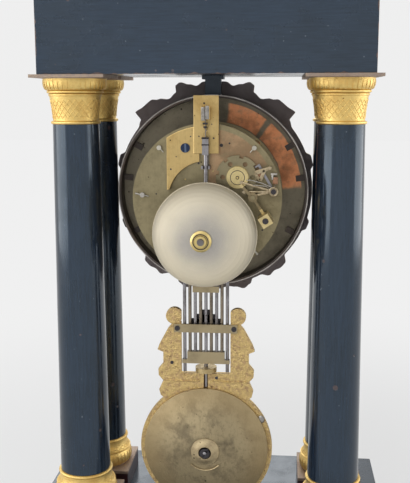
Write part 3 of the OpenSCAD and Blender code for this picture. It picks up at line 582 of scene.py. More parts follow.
@dataclass(frozen=True)
class TurnedMetal(AgedMetal):
    """Metal turned on a lathe about an axis along Y."""

    centre: Triple = (0.0, 0.0, 0.0)
    spacing: float = 0.0007
    rim_radius: float = 0.03
    rim_colour: Triple = (0.6, 0.55, 0.45)
    core_radius: float = 0.0

    def coat(self, graph: Surface, below: Layers) -> Layers:
        """Lays lathe rings and a tone that changes from the middle to the rim, which on the bell is
        painted light.

        Args:
            graph: The material's graph.
            below: The aged metal's layers.

        Returns:
            The layers with the rings.
        """
        lathe = graph.effect("turned", Centre=self.centre, Spacing=self.spacing)
        wobble = graph.cloud(60.0, 3.0)
        reach = graph.madd(wobble, 0.3 * self.rim_radius, lathe["Radius"])
        outer = graph.ramp(reach, self.core_radius + 0.15 * self.rim_radius, 1.1 * self.rim_radius)
        toned = graph.mix(graph.times(outer, 0.8), below.colour, self.rim_colour)
        dull = graph.madd(lathe["Rings"], 0.06, below.dull)
        height = graph.madd(lathe["Rings"], 0.5, below.height)
        return Layers(self.gilded(graph, toned), dull, height)


@dataclass(frozen=True)
class SheetPatch(AgedMetal):
    """Tarnished sheet with a painted copper reflection between radii and turns about the dial's axis."""

    patch: Triple = (0.42, 0.16, 0.07)
    centre: Triple = (0.0, 0.0, 0.278)
    inner: float = 0.0
    outer: float = 1.0
    turns: tuple[float, float] = (-1.5, 0.0)
    split: float = 9.0
    share: float = 1.0
    soft_r: float = 0.0008
    soft_turn: float = 0.05

    def coat(self, graph: Surface, below: Layers) -> Layers:
        """Lays the painted copper reflection over the dark tarnish.

        Args:
            graph: The material's graph.
            below: The aged metal's layers.

        Returns:
            The layers with the painted reflection.
        """
        lathe = graph.effect("turned", Centre=self.centre, Spacing=0.002)
        blot = graph.cloud(55.0, 6.0, 0.6)
        turn = graph.madd(blot, 0.12, lathe["Turn"])
        reach = graph.madd(blot, 0.003, lathe["Radius"])
        first, last = self.turns
        # Painted reflection: a copper-toned patch between two radii and two turns, cut by a narrow gap at
        # the split turn
        painted_light = graph.ramp(graph.math("ABSOLUTE", graph.math("SUBTRACT", turn, self.split)), 0.02, 0.05)
        for bound in (
            graph.ramp(turn, first, first + self.soft_turn),
            graph.ramp(turn, last, last - self.soft_turn),
            graph.ramp(reach, self.inner, self.inner + self.soft_r),
            graph.ramp(reach, self.outer, self.outer - self.soft_r),
            graph.ramp(blot, 0.3, 0.5, (0.4 * self.share, self.share)),
        ):
            painted_light = graph.times(painted_light, bound)
        reflection_mottle = graph.mask("mottle", Scale=240.0, Low=0.46, High=0.72)
        tone = graph.mix(graph.ramp(blot, 0.4, 0.62), self.patch, shade(self.patch, 0.55))
        tone = graph.mix(graph.times(reflection_mottle, 0.4), tone, self.tarnish)
        return Layers(graph.mix(painted_light, below.colour, tone), below.dull, below.height)


@dataclass(frozen=True)
class TwoTone(AgedMetal):
    """Metal that takes a second colour beyond a radius about Y and behind a depth."""

    second: Triple = (0.5, 0.4, 0.2)
    centre: Triple = (0.0, 0.0, 0.0)
    inner: float = 0.0
    behind: float = -1.0
    soft: float = 0.0002

    def coat(self, graph: Surface, below: Layers) -> Layers:
        """Lays the second colour over the first.

        Args:
            graph: The material's graph.
            below: The aged metal's layers.

        Returns:
            The layers with both colours.
        """
        lathe = graph.effect("turned", Centre=self.centre, Spacing=0.0008)
        far = graph.ramp(lathe["Radius"], self.inner, self.inner + self.soft)
        deep = graph.ramp(graph.along(1), self.behind, self.behind + self.soft)
        cloud = graph.mask("mottle", Scale=90.0, Low=0.4, High=0.75)
        other = graph.mix(graph.times(cloud, 0.6), self.second, shade(self.second, 0.6))
        colour = graph.mix(graph.times(far, deep), below.colour, other)
        return Layers(colour, below.dull, graph.madd(lathe["Rings"], 0.3, below.height))


@dataclass(frozen=True)
class DarkRing(AgedMetal):
    """Browned metal with a painted highlight, a pale line along the rear rim."""

    centre: Triple = (0.0, 0.0, 0.278)
    rim_y: float = -0.013
    rim_r: float = 0.0665
    painted_light: Triple = (0.5, 0.47, 0.44)

    def coat(self, graph: Surface, below: Layers) -> Layers:
        """Lays the painted highlight, a pale rim line, over the browned metal.

        Args:
            graph: The material's graph.
            below: The aged metal's layers.

        Returns:
            The layers with the rim.
        """
        lathe = graph.effect("turned", Centre=self.centre, Spacing=0.002)
        near = graph.ramp(graph.along(1), self.rim_y - 0.0006, self.rim_y - 0.0001)
        outer = graph.ramp(lathe["Radius"], self.rim_r - 0.0009, self.rim_r - 0.0005)
        blotch = graph.ramp(graph.cloud(30.0, 4.0), 0.3, 0.55, (0.25, 1.0))
        # Painted highlight: a pale, blotchy line along the rear rim
        wear_and_highlight = graph.times(graph.times(near, outer), blotch)
        return Layers(graph.mix(wear_and_highlight, below.colour, self.painted_light), below.dull, below.height)


@dataclass(frozen=True)
class Enamel(Finish):
    """Fired enamel with a faint orange-peel and age tone."""

    aged: Triple = (0.72, 0.68, 0.58)

    def dress(self, graph: Surface) -> None:
        """Feeds the shader with the enamel's tone and gloss.

        Args:
            graph: The material's graph.
        """
        cloud = graph.mask("mottle", Scale=30.0, Low=0.45, High=0.8)
        pits = graph.mask("specks", Scale=300.0, Amount=0.12)
        tone = graph.mix(graph.times(cloud, 0.5), self.colour, self.aged)
        colour = graph.mix(pits, tone, shade(self.aged, 0.5))
        graph.paint(colour, graph.madd(cloud, 0.08, self.roughness))
        graph.bump(graph.cloud(700.0, 2.0), 0.00002)


@dataclass(frozen=True)
class ClearGlass(Finish):
    """Thin domed glass with a slight unevenness."""

    dust: Triple = (0.7, 0.7, 0.66)

    def dress(self, graph: Surface) -> None:
        """Feeds the shader with clear glass and a trace of dust.

        Args:
            graph: The material's graph.
        """
        graph.shader["Transmission Weight"].default_value = 1.0
        graph.shader["IOR"].default_value = 1.46
        dust = graph.mask("specks", Scale=500.0, Amount=0.1)
        colour = graph.mix(graph.times(dust, 0.4), self.colour, self.dust)
        graph.paint(colour, graph.madd(dust, 0.2, self.roughness))
        graph.bump(graph.cloud(25.0, 1.0), 0.0001)


# Tone of the polished panels, lifted a little lighter and bluer as painted reflection, and grain that
# runs from left to right
BLACK_AND_SHEEN = (0.012, 0.019, 0.032)
LEVEL = (0.06, 1.0, 1.0)


class Palette:
    """Every finish of the clock."""

    enamel = Enamel("white_enamel", (0.86, 0.84, 0.78), 0.18)
    black_paint = Enamel("fired_black", (0.012, 0.012, 0.014), 0.3, aged=(0.03, 0.028, 0.026))
    glass = ClearGlass("clear_glass", (0.97, 0.985, 0.98), 0.01)
    column = Ebonised("ebonised_column", (0.008, 0.014, 0.025), 0.12)
    panels = {
        node: Ebonised("ebonised_" + node, BLACK_AND_SHEEN, 0.17, box=box_of(node), streak=LEVEL)
        for node in ("base_block", "entablature", "cornice")
    }
    foot = Ebonised("ebonised_foot", BLACK_AND_SHEEN, 0.22)
    block = Ebonised("red_wood", (0.03, 0.009, 0.009), 0.3, wear_and_highlight=(0.12, 0.06, 0.04), streak=LEVEL)
    stem = Ebonised("black_stem", (0.007, 0.008, 0.012), 0.3)
    mount = GiltMount(
        "gilt_mount", (0.78, 0.57, 0.21), 0.42, tarnish=(0.66, 0.43, 0.14), spot=(0.2, 0.1, 0.03),
        spots=0.16, relief=0.00006, grain=600.0, low=0.0704, high=0.3546,
    )
    gilt = GiltCasting(
        "gilt_casting", (0.78, 0.55, 0.2), 0.27, tarnish=(0.48, 0.29, 0.08), spot=(0.2, 0.1, 0.03),
        spots=0.16, relief=0.00006, grain=600.0,
    )
    frame_gilt = GiltCasting(
        "gilt_rough_casting", (0.6, 0.44, 0.19), 0.36, tarnish=(0.41, 0.275, 0.155),
        spot=(0.15, 0.09, 0.04), spots=0.24, relief=0.0004, grain=520.0, cloud_scale=420.0,
        cloud_from=0.42, cloud_to=0.7, brush=(1, 1, 0.12), fine=0.2, front=(0.76, 0.54, 0.2),
        front_y=0.0374,
    )
    bezel = TwoTone(
        "bezel_casting", (0.76, 0.53, 0.2), 0.38, tarnish=(0.46, 0.28, 0.08), spot=(0.1, 0.06, 0.03),
        second=(0.19, 0.165, 0.165), centre=(0, 0, 0.278), behind=-0.0362, soft=0.0008, relief=0.0002,
    )
    # Drum ring: the pale line along its rear rim is a painted highlight
    ring = DarkRing(
        "browned_ring", (0.062, 0.05, 0.044), 0.42, tarnish=(0.11, 0.08, 0.06),
        spot=(0.02, 0.015, 0.012), shine=0.6,
    )
    nut = AgedMetal(
        "nut_brass", (0.5, 0.39, 0.2), 0.36, tarnish=(0.36, 0.26, 0.12), spots=0.2, cloud_scale=180.0
    )
    rods = TwoTone(
        "grid_brass", (0.24, 0.2, 0.15), 0.34, tarnish=(0.15, 0.125, 0.1), spot=(0.07, 0.05, 0.03),
        spots=0.24, cloud_scale=150.0, brush=(1, 1, 0.05), second=(0.38, 0.31, 0.19), behind=0.0389,
    )
    # Painted reflection: the patches of the plate and the dark sheet are copper-toned reflections
    plate = SheetPatch(
        "plate_brass", (0.3, 0.255, 0.15), 0.36, tarnish=(0.22, 0.185, 0.11), spot=(0.07, 0.05, 0.03),
        brush=(1, 1, 0.05), patch=(0.56, 0.33, 0.19), inner=0.012, outer=0.047, turns=(-1.0, 0.0),
        share=0.6,
    )
    sheet = SheetPatch(
        "dark_sheet", (0.2, 0.175, 0.125), 0.42, tarnish=(0.12, 0.105, 0.075),
        spot=(0.03, 0.025, 0.02), shine=0.8, patch=(0.8, 0.33, 0.15), inner=0.0495, outer=0.0635,
        turns=(-1.52, -0.1), split=-0.62,
    )
    bright = AgedMetal(
        "bright_brass", (0.58, 0.42, 0.18), 0.3, tarnish=(0.43, 0.29, 0.11), spots=0.16,
        brush=(1, 1, 0.04),
    )
    wheel = AgedMetal("wheel_brass", (0.6, 0.47, 0.22), 0.3, tarnish=(0.4, 0.28, 0.1), spots=0.15)
    count = TwoTone(
        "count_brass", (0.66, 0.54, 0.27), 0.28, tarnish=(0.5, 0.38, 0.16), spots=0.12,
        second=(0.27, 0.23, 0.14), centre=(-0.02, 0, 0.2923), inner=0.007,
    )
    hammer = TwoTone(
        "hammer_brass", (0.3, 0.24, 0.14), 0.34, tarnish=(0.18, 0.14, 0.08),
        second=(0.66, 0.53, 0.27), centre=(-0.03, 0, 0.28), inner=0.009,
    )
    pillar = TwoTone(
        "pillar_brass", (0.5, 0.4, 0.2), 0.32, tarnish=(0.32, 0.24, 0.1), second=(0.5, 0.47, 0.4),
        centre=(0, 0, 0.278), behind=0.0303,
    )
    boss = AgedMetal(
        "boss_brass", (0.5, 0.4, 0.24), 0.32, tarnish=(0.3, 0.23, 0.14), spots=0.3, cloud_scale=240.0
    )
    bob = TurnedMetal(
        "bob_brass", (0.37, 0.3, 0.18), 0.36, tarnish=(0.19, 0.155, 0.1), spot=(0.06, 0.05, 0.035),
        centre=(0, 0, 0.112), rim_colour=(0.36, 0.275, 0.15), core_radius=0.02, rim_radius=0.042,
        spots=0.24, spot_scale=330.0, cloud_scale=60.0, cloud_from=0.43, cloud_to=0.66, fine=0.5,
        brush=(1, 1, 0.06), relief=0.0002, front=(0.76, 0.54, 0.2), front_y=0.0374,
    )
    # Bell: its paler rim colour is painted light
    bell = TurnedMetal(
        "bell_metal", (0.27, 0.255, 0.235), 0.44, tarnish=(0.31, 0.29, 0.25), spot=(0.3, 0.26, 0.19),
        shine=0.12, fine=0.12, centre=(0, 0, 0.257), rim_colour=(0.6, 0.53, 0.39), core_radius=0.005,
        rim_radius=0.029, spots=0.14, relief=0.00002, spacing=0.0009,
    )
    steel = AgedMetal(
        "drawn_steel", (0.3, 0.29, 0.3), 0.3, tarnish=(0.15, 0.135, 0.13), spot=(0.06, 0.04, 0.03),
        brush=(1, 1, 0.04), cloud_scale=120.0,
    )
    stand = TwoTone(
        "stand_steel", (0.2, 0.19, 0.19), 0.3, tarnish=(0.17, 0.15, 0.14), second=(0.66, 0.52, 0.22),
        centre=(0, 0, 0.257), inner=0.0021, behind=0.0699,
    )
    blued = AgedMetal(
        "blued_steel", (0.035, 0.05, 0.095), 0.25, tarnish=(0.025, 0.035, 0.06), spots=0.1
    )
    slot = AgedMetal("slot_floor", (0.13, 0.17, 0.25), 0.3, tarnish=(0.07, 0.09, 0.14), spots=0.1)
    pale_steel = AgedMetal(
        "pale_steel", (0.5, 0.475, 0.43), 0.32, tarnish=(0.27, 0.25, 0.22), spots=0.2,
        cloud_scale=200.0,
    )
    worn_steel = AgedMetal(
        "worn_steel", (0.36, 0.34, 0.31), 0.34, tarnish=(0.17, 0.155, 0.14), spots=0.3,
        cloud_scale=320.0, fine=0.5,
    )
    dark = AgedMetal("dark_steel", (0.07, 0.065, 0.07), 0.36, tarnish=(0.04, 0.035, 0.035), spots=0.15)
    copper = AgedMetal("copper_lever", (0.36, 0.2, 0.12), 0.36, tarnish=(0.2, 0.11, 0.07), spots=0.2)
    lever = AgedMetal(
        "lever_metal", (0.5, 0.41, 0.27), 0.3, tarnish=(0.24, 0.18, 0.1), spots=0.25,
        cloud_scale=260.0,
    )


# Modelling


class Shape:
    """A bmesh that grows from operator shapes and becomes one piece."""

    def __init__(self) -> None:
        """Starts empty."""
        self.bm = bmesh.new()

    def place(self, verts: Sequence[Any], at: Vector, axis: Vector, spin: float = 0.0) -> None:
        """Turns new vertices from Z to an axis and moves them.

        Args:
            verts: The vertices.
            at: Their new centre.
            axis: The direction that Z turns to.
            spin: A turn about Z before that, in radians.
        """
        turn = axis.to_track_quat("Z", "Y").to_matrix().to_4x4()
        whole = Matrix.Translation(at) @ turn @ Matrix.Rotation(spin, 4, "Z")
        bmesh.ops.transform(self.bm, matrix=whole, verts=list(verts))

    def rod(
        self, at: Vector, axis: Vector, length: float, r1: float, r2: float | None = None, sides: int = 20
    ) -> "Shape":
        """Adds a round rod or taper from a point along an axis.

        Args:
            at: The foot's centre.
            axis: Its direction.
            length: Its length.
            r1: The radius at the foot.
            r2: The radius at the end, or the same.
            sides: Sides of the circle.

        Returns:
            This shape.
        """
        end = r1 if r2 is None else r2
        made = bmesh.ops.create_cone(
            self.bm, cap_ends=True, segments=sides, radius1=r1, radius2=end, depth=length
        )["verts"]
        bmesh.ops.translate(self.bm, vec=(0, 0, length / 2), verts=made)
        self.place(made, at, axis)
        return self

    def slab(self, at: Vector, size: Vector, bevel: float = 0.0) -> "Shape":
        """Adds a block, with soft edges where a bevel is given.

        Args:
            at: Its centre.
            size: Its sizes.
            bevel: Width of the softened edges.

        Returns:
            This shape.
        """
        made = bmesh.ops.create_cube(self.bm, size=1.0)["verts"]
        bmesh.ops.scale(self.bm, vec=size, verts=made)
        if bevel:
            edges = list({e for v in made for e in v.link_edges})
            made = bmesh.ops.bevel(
                self.bm, geom=edges, offset=bevel, segments=2, profile=0.5, affect="EDGES", material=-1
            )["verts"]
        bmesh.ops.translate(self.bm, vec=at, verts=made)
        return self

    def bar(self, at: Vector, size: Vector, lean: float, bevel: float = 0.0) -> "Shape":
        """Adds a block that is turned about the front-to-back axis.

        Args:
            at: Its centre.
            size: Its sizes before it is turned.
            lean: The turn in radians.
            bevel: Width of the softened edges.

        Returns:
            This shape.
        """
        before = set(self.bm.verts)
        self.slab(Vector(), size, bevel).turn(before, Vector(), lean)
        bmesh.ops.translate(self.bm, vec=at, verts=self.since(before))
        return self

    def turn(self, before: set[Any], centre: Vector, angle: float) -> "Shape":
        """Turns the newest geometry about an axis along Y.

        Args:
            before: The vertices that were there before it.
            centre: A point on the axis.
            angle: The turn in radians.

        Returns:
            This shape.
        """
        whole = Matrix.Rotation(angle, 3, "Y")
        bmesh.ops.rotate(self.bm, cent=centre, matrix=whole, verts=self.since(before))
        return self

    def ball(self, at: Vector, radius: float, flat: Triple = (1, 1, 1), detail: int = 2) -> "Shape":
        """Adds a rounded lump.

        Args:
            at: Its centre.
            radius: Its radius.
            flat: Scale along each axis.
            detail: Subdivisions of the lump.

        Returns:
            This shape.
        """
        made = bmesh.ops.create_icosphere(self.bm, subdivisions=detail, radius=radius)["verts"]
        bmesh.ops.scale(self.bm, vec=flat, verts=made)
        bmesh.ops.translate(self.bm, vec=at, verts=made)
        return self

    def spin(self, geom: Sequence[Any], angle: float, steps: int, merge: bool = False) -> None:
        """Sweeps geometry about Z through the origin.

        Args:
            geom: The vertices, edges and faces of the section.
            angle: The whole turn in radians.
            steps: Steps of the turn.
            merge: Whether the last step joins the first.
        """
        bmesh.ops.spin(
            self.bm, geom=list(geom), cent=(0, 0, 0), axis=(0, 0, 1), dvec=(0, 0, 0), angle=angle,
            steps=steps, use_merge=merge,
        )

    def turning(self, at: Vector, axis: Vector, profile: Curve, steps: int = 48) -> "Shape":
        """Spins a closed profile about an axis.

        Args:
            at: A point on the axis, the profile's zero height.
            axis: The axis.
            profile: Radius and height of each point.
            steps: Steps of the full turn.

        Returns:
            This shape.
        """
        before = set(self.bm.verts)
        verts = [self.bm.verts.new((r, 0, h)) for r, h in profile]
        edges = [self.bm.edges.new(pair) for pair in zip(verts, verts[1:] + verts[:1])]
        self.spin(verts + edges, TAU, steps, merge=True)
        self.place(self.since(before), at, axis)
        return self

    def ring(self, at: Vector, axis: Vector, radius: float, tube: float, steps: int = 64) -> "Shape":
        """Adds a round wire ring.

        Args:
            at: Its centre.
            axis: Its axis.
            radius: The ring's radius.
            tube: The wire's radius.
            steps: Steps of the full turn.

        Returns:
            This shape.
        """
        turns = [TAU * i / 10 for i in range(10)]
        section = [(radius + tube * math.cos(t), tube * math.sin(t)) for t in turns]
        return self.turning(at, axis, section, steps)

    def rib(self, centre: Vector, profile: Curve, width: float) -> "Shape":
        """Adds a rib that follows a turned profile about Z.

        Args:
            centre: A point on the axis, the profile's zero height.
            profile: Radius and height of each point of its closed section.
            width: The angle that it takes up.

        Returns:
            This shape.
        """
        before = set(self.bm.verts)
        verts = [self.bm.verts.new((r, 0, h)) for r, h in profile]
        face = self.bm.faces.new(verts)
        self.spin([*verts, *face.edges, face], width, 2)
        made = self.since(before)
        rims = list({e for v in made for e in v.link_edges if e.is_boundary})
        bmesh.ops.holes_fill(self.bm, edges=rims)
        bmesh.ops.translate(self.bm, vec=centre, verts=made)
        return self

    def wire(self, points: Sequence[Vector], radius: float) -> "Shape":
        """Adds a bent wire through points.

        Args:
            points: Its corners and ends.
            radius: Its radius.

        Returns:
            This shape.
        """
        for first, last in zip(points, points[1:]):
            self.rod(first, last - first, (last - first).length, radius, sides=10)
            self.ball(last, radius, detail=1)
        return self

    def screw(self, at: Vector, axis: Vector, radius: float, height: float, turn: float) -> "Shape":
        """Adds a screw head with an open slot.

        Args:
            at: The centre of its seat.
            axis: Its direction.
            radius: The head's radius.
            height: The head's height.
            turn: The slot's turn.

        Returns:
            This shape.
        """
        sides = 28
        level = height / 2
        slot = 0.22 * radius
        self.rod(at, axis, level, radius, sides=sides)
        for half in (0.0, math.pi):
            before = set(self.bm.verts)
            bmesh.ops.create_circle(self.bm, cap_ends=True, segments=sides, radius=radius)
            disc = self.newest(before)
            bmesh.ops.bisect_plane(
                self.bm, geom=disc, plane_co=(0, slot, 0), plane_no=(0, 1, 0), clear_inner=True
            )
            faces = list({f for v in self.since(before) for f in v.link_faces})
            lifted = bmesh.ops.extrude_face_region(self.bm, geom=faces)["geom"]
            tops = [v for v in lifted if isinstance(v, bmesh.types.BMVert)]
            bmesh.ops.translate(self.bm, vec=(0, 0, level), verts=tops)
            bmesh.ops.translate(self.bm, vec=(0, 0, level), verts=self.since(before))
            self.place(self.since(before), at, axis, turn + half)
        return self

    def since(self, before: set[Any]) -> list[Any]:
        """Lists the vertices that weren't there before."""
        return [v for v in self.bm.verts if v not in before]

    def newest(self, before: set[Any]) -> list[Any]:
        """Lists the vertices that weren't there before, with their edges and faces."""
        return list({item for v in self.since(before) for item in (v, *v.link_edges, *v.link_faces)})

    def repeat(self, before: set[Any], centre: Vector, axis: Vector, count: int) -> "Shape":
        """Repeats the newest geometry evenly round an axis.

        Args:
            before: The vertices that were there before it.
            centre: A point on the axis.
            axis: The axis.
            count: How many there are in the end.

        Returns:
            This shape.
        """
        bmesh.ops.spin(
            self.bm, geom=self.newest(before), cent=centre, axis=axis, dvec=(0, 0, 0),
            angle=TAU * (count - 1) / count, steps=count - 1, use_duplicate=True,
        )
        return self

    def piece(
        self, name: str, body: Body, finish: Finish, slot: Slot, smooth: bool = True
    ) -> bpy.types.Object:
        """Makes the finished piece.

        Args:
            name: The piece's name.
            body: The CAD body that it rides on.
            finish: Its finish.
            slot: The record's material slot; not used.
            smooth: Whether faces at less than a sharp angle shade smoothly.

        Returns:
            The new object.
        """
        bmesh.ops.remove_doubles(self.bm, verts=list(self.bm.verts), dist=MERGE_GAP)
        bmesh.ops.recalc_face_normals(self.bm, faces=list(self.bm.faces))
        for face in self.bm.faces:
            face.smooth = smooth
        for edge in self.bm.edges:
            if len(edge.link_faces) == 2 and edge.calc_face_angle(0.0) > SHARP:
                edge.smooth = False
        mesh = bpy.data.meshes.new(name)
        self.bm.to_mesh(mesh)
        self.bm.free()
        mesh.materials.append(finish.material())
        made = bpy.data.objects.new(name, mesh)
        bpy.context.scene.collection.objects.link(made)
        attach(made, body.value)
        LOG.info("%s on %s, %d faces", name, body.value, len(mesh.polygons))
        return made


def dress_nodes(finish: Finish, *nodes: str, soft: float = 0.0) -> None:
    """Gives CAD nodes their finish and, where asked, rounded edges for the light to catch.

    Args:
        finish: The finish.
        nodes: The nodes' names.
        soft: Width of the rounding in metres, or zero for none.
    """
    for name in nodes:
        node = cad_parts[name]
        node.data.materials.clear()
        node.data.materials.append(finish.material())
        if soft:
            weld = node.modifiers.new("weld", "WELD")
            weld.merge_threshold = WELD_GAP
            bevel = node.modifiers.new("soft_edges", "BEVEL")
            bevel.width = soft
            bevel.segments = 2
            bevel.limit_method = "ANGLE"
            bevel.angle_limit = SHARP
        LOG.info("%s keeps its CAD form", name)


# Studio


@dataclass
class Studio:
    """Pale floor, soft light and the photograph's camera."""

    eye: Triple = (-0.0483, 0.5623, 0.3435)
    aim: Triple = (0.0913, -0.9808, -0.1723)
    roll: float = -0.0025
    focal_px: float = 831.06
    image: tuple[int, int] = (410, 483)
    lit: Triple = (0.0, 0.0, 0.25)
    light: float = 0.52
    backdrop: float = 0.86
    floor_half: float = 6.0
    floor_tone: Triple = (0.86, 0.87, 0.87)
    floor_glow: float = 0.87
    glow_share: tuple[float, float] = (0.55, 1.0)
    glow_reach: tuple[float, float] = (0.22, 0.8)

    def build(self) -> None:
        """Makes the camera, lamps, world and floor."""
        self.camera()
        self.world()
        self.floor()
        self.lamp("key", (0.7, 1.5, 1.6), (1.3, 1.3), 11.0)
        self.lamp("low", (0.1, 1.1, 0.04), (0.9, 0.5), 11.0).visible_glossy = False
        self.lamp("front", (0.4, -1.8, 1.4), (1.4, 1.4), 12.0)
        self.lamp("panel_left", (1.32, 0.42, 0.45), (1.6, 1.5), 18.0).visible_diffuse = False
        self.lamp("panel_right", (-1.4, -0.2, 0.45), (1.5, 1.5), 16.0).visible_diffuse = False
        bpy.context.scene.view_settings.view_transform = "Standard"

    def camera(self) -> None:
        """Stands the camera where the photograph was taken."""
        data = bpy.data.cameras.new("photo_camera")
        data.sensor_width = 36.0
        data.lens = self.focal_px * data.sensor_width / max(self.image)
        data.clip_start = 0.01
        camera = bpy.data.objects.new("photo_camera", data)
        camera.location = self.eye
        level = Vector(self.aim).to_track_quat("-Z", "Y").to_matrix()
        camera.rotation_euler = (level @ Matrix.Rotation(self.roll, 3, "Z")).to_euler()
        bpy.context.scene.collection.objects.link(camera)
        bpy.context.scene.camera = camera

    def lamp(self, name: str, at: Triple, size: tuple[float, float], power: float) -> bpy.types.Object:
        """Hangs a soft flat lamp that looks at the clock.

        Args:
            name: Its name.
            at: Its place.
            size: Its width and height.
            power: Its power in watts.

        Returns:
            The lamp.
        """
        data = bpy.data.lights.new(name, "AREA")
        data.shape = "RECTANGLE"
        data.size, data.size_y = size
        data.energy = power
        lamp = bpy.data.objects.new(name, data)
        lamp.location = at
        lamp.rotation_euler = (Vector(self.lit) - Vector(at)).to_track_quat("-Z", "Y").to_euler()
        lamp.visible_camera = False
        bpy.context.scene.collection.objects.link(lamp)
        return lamp

    def world(self) -> None:
        """Makes a white surround that gives a plain level of light."""
        world = bpy.data.worlds.new("studio")
        world.use_nodes = True
        world.node_tree.nodes.clear()
        graph = Graph(world.node_tree)
        path = graph.add("ShaderNodeLightPath").outputs
        clear = graph.math("MAXIMUM", path["Is Camera Ray"], path["Is Transmission Ray"])
        seen = graph.math("MAXIMUM", clear, path["Is Glossy Ray"])
        strength = graph.ramp(seen, 0.0, 1.0, (self.light, self.backdrop))
        back = graph.add("ShaderNodeBackground", Color=(1.0, 1.0, 1.0), Strength=strength)
        graph.add("ShaderNodeOutputWorld", Surface=back)
        bpy.context.scene.world = world

    def floor(self) -> None:
        """Lays a pale floor that keeps a soft shadow."""
        bm = bmesh.new()
        bmesh.ops.create_grid(bm, x_segments=1, y_segments=1, size=self.floor_half)
        mesh = bpy.data.meshes.new("floor")
        bm.to_mesh(mesh)
        bm.free()
        material = bpy.data.materials.new("pale_floor")
        material.use_nodes = True
        material.node_tree.nodes.clear()
        graph = Graph(material.node_tree)
        path = graph.add("ShaderNodeLightPath").outputs
        seen = graph.math("MAXIMUM", path["Is Camera Ray"], path["Is Glossy Ray"])
        where = graph.add("ShaderNodeTexCoord").outputs["Object"]
        far = graph.vector("LENGTH", where).outputs["Value"]
        share = graph.times(seen, graph.ramp(far, *self.glow_reach, self.glow_share))
        matt = graph.add("ShaderNodeBsdfDiffuse", Color=self.floor_tone)
        glow = graph.add("ShaderNodeEmission", Color=(1.0, 1.0, 1.0), Strength=self.floor_glow)
        both = graph.add("ShaderNodeMixShader", i0=share, i1=matt, i2=glow)
        graph.add("ShaderNodeOutputMaterial", Surface=both)
        mesh.materials.append(material)
        made = bpy.data.objects.new("floor", mesh)
        bpy.context.scene.collection.objects.link(made)


# Clock


@dataclass
class Case:
    """Wooden case with its gilt mounts. Lengths are in millimetres, roundings in metres."""

    neck_r: float = 14.9
    foot_r: float = 17.0
    plate_t: float = 2.0
    flutes: int = 38
    crossings: int = 26
    lean: float = 7.0
    fine_r: float = 0.3
    lift: float = 0.35
    sink: float = 0.4
    soft_panel: float = 0.0007
    soft_block: float = 0.0004

    def build(self) -> None:
        """Dresses the case."""
        for node, finish in Palette.panels.items():
            dress_nodes(finish, node, soft=self.soft_panel)
        dress_nodes(Palette.foot, "base_feet")
        dress_nodes(Palette.block, "column_blocks", soft=self.soft_block)
        dress_nodes(Palette.stem, "hanger_stem")
        for corner in CORNERS:
            dress_nodes(Palette.column, "column_" + corner)
            dress_nodes(Palette.mount, "capital_" + corner, "column_base_" + corner)
            self.capital(corner)
            self.foot(corner)

    def seat(self, node: str) -> tuple[Vector, float]:
        """Finds where a mount stands.

        Args:
            node: The mount's name.

        Returns:
            The middle of its underside, and the height of its turned part in millimetres.
        """
        low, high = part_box(node)
        middle = Vector(((low.x + high.x) / 2, (low.y + high.y) / 2, low.z))
        return middle, (high.z - low.z) * 1000 - self.plate_t

    def band(self, curve: Curve) -> Curve:
        """Makes a rib's section from the curve that it follows.

        Args:
            curve: Radius and height of each point in millimetres.

        Returns:
            The closed section in metres, proud of the curve in its middle.
        """
        last = len(curve) - 1
        swell = [self.lift * math.sin(math.pi * i / last) ** 0.5 for i in range(len(curve))]
        proud = [(r + rise, h) for (r, h), rise in zip(curve, swell)]
        sunk = [(r - self.sink, h) for r, h in reversed(curve)]
        return [(r / 1000, h / 1000) for r, h in proud + sunk]

    def lattice(self, shape: Shape, centre: Vector, rows: Curve) -> None:
        """Adds fine crossing ribs that wind round a mount.

        Args:
            shape: The shape that they go into.
            centre: The foot of the mount on the column's axis.
            rows: Radius and height of the points that a rib passes, in millimetres.
        """
        for lean in (-self.lean, self.lean):
            path = []
            for number, (radius, height) in enumerate(rows):
                turn = math.radians(lean * number)
                path.append(centre + mm(radius * math.cos(turn), radius * math.sin(turn), height))
            before = set(shape.bm.verts)
            shape.wire(path, self.fine_r / 1000)
            shape.repeat(before, centre, Way.UP.value, self.crossings)

    def relief(self, name: str, centre: Vector, curve: Curve, share: float, rows: Curve) -> None:
        """Adds the pressed relief of a mount.

        Args:
            name: The piece's name.
            centre: The foot of the relief on the column's axis.
            curve: Radius and height of the points that a flute follows, in millimetres.
            share: The share of the round that the flutes take up.
            rows: Radius and height of the lattice's points, in millimetres.
        """
        shape = Shape().rib(centre, self.band(curve), share * TAU / self.flutes)
        shape.repeat(set(), centre, Way.UP.value, self.flutes)
        self.lattice(shape, centre, rows)
        shape.piece(name, Body.CASE, Palette.mount, Slot.GILT)

    def capital(self, corner: str) -> None:
        """Adds the flutes on a capital's flare and the lattice on its neck.

        Args:
            corner: The column's corner.
        """
        centre, tall = self.seat("capital_" + corner)
        flare = []
        for turn in map(math.radians, (10, 25, 40, 55, 70, 85)):
            height = tall * (0.735 + 0.25 * (1 - math.cos(turn)))
            flare.append((self.neck_r + 3.2 + 2.4 * math.sin(turn), height))
        shares = (0.13, 0.21, 0.29, 0.37, 0.45, 0.53)
        neck = [(self.neck_r - 0.4 + 5.6 * share**2, tall * share) for share in shares]
        self.relief("capital_relief_" + corner, centre, flare, 0.55, neck)

    def foot(self, corner: str) -> None:
        """Adds the flutes on a column foot's torus and the lattice on its cone.

        Args:
            corner: The column's corner.
        """
        centre, tall = self.seat("column_base_" + corner)
        torus = []
        for turn in map(math.radians, (-60, -35, -12, 12, 35, 60)):
            height = tall * (0.26 + 0.24 * math.sin(turn))
            torus.append((self.foot_r + 2.2 + 1.7 * math.cos(turn), height))
        cone = []
        for turn in map(math.radians, (22, 38, 54)):
            height = tall * (0.55 + 0.32 * (1 - math.cos(turn)))
            cone.append((self.foot_r + 3.3 - 2.7 * math.sin(turn), height))
        self.relief("foot_relief_" + corner, centre + mm(0, 0, self.plate_t), torus, 0.6, cone)


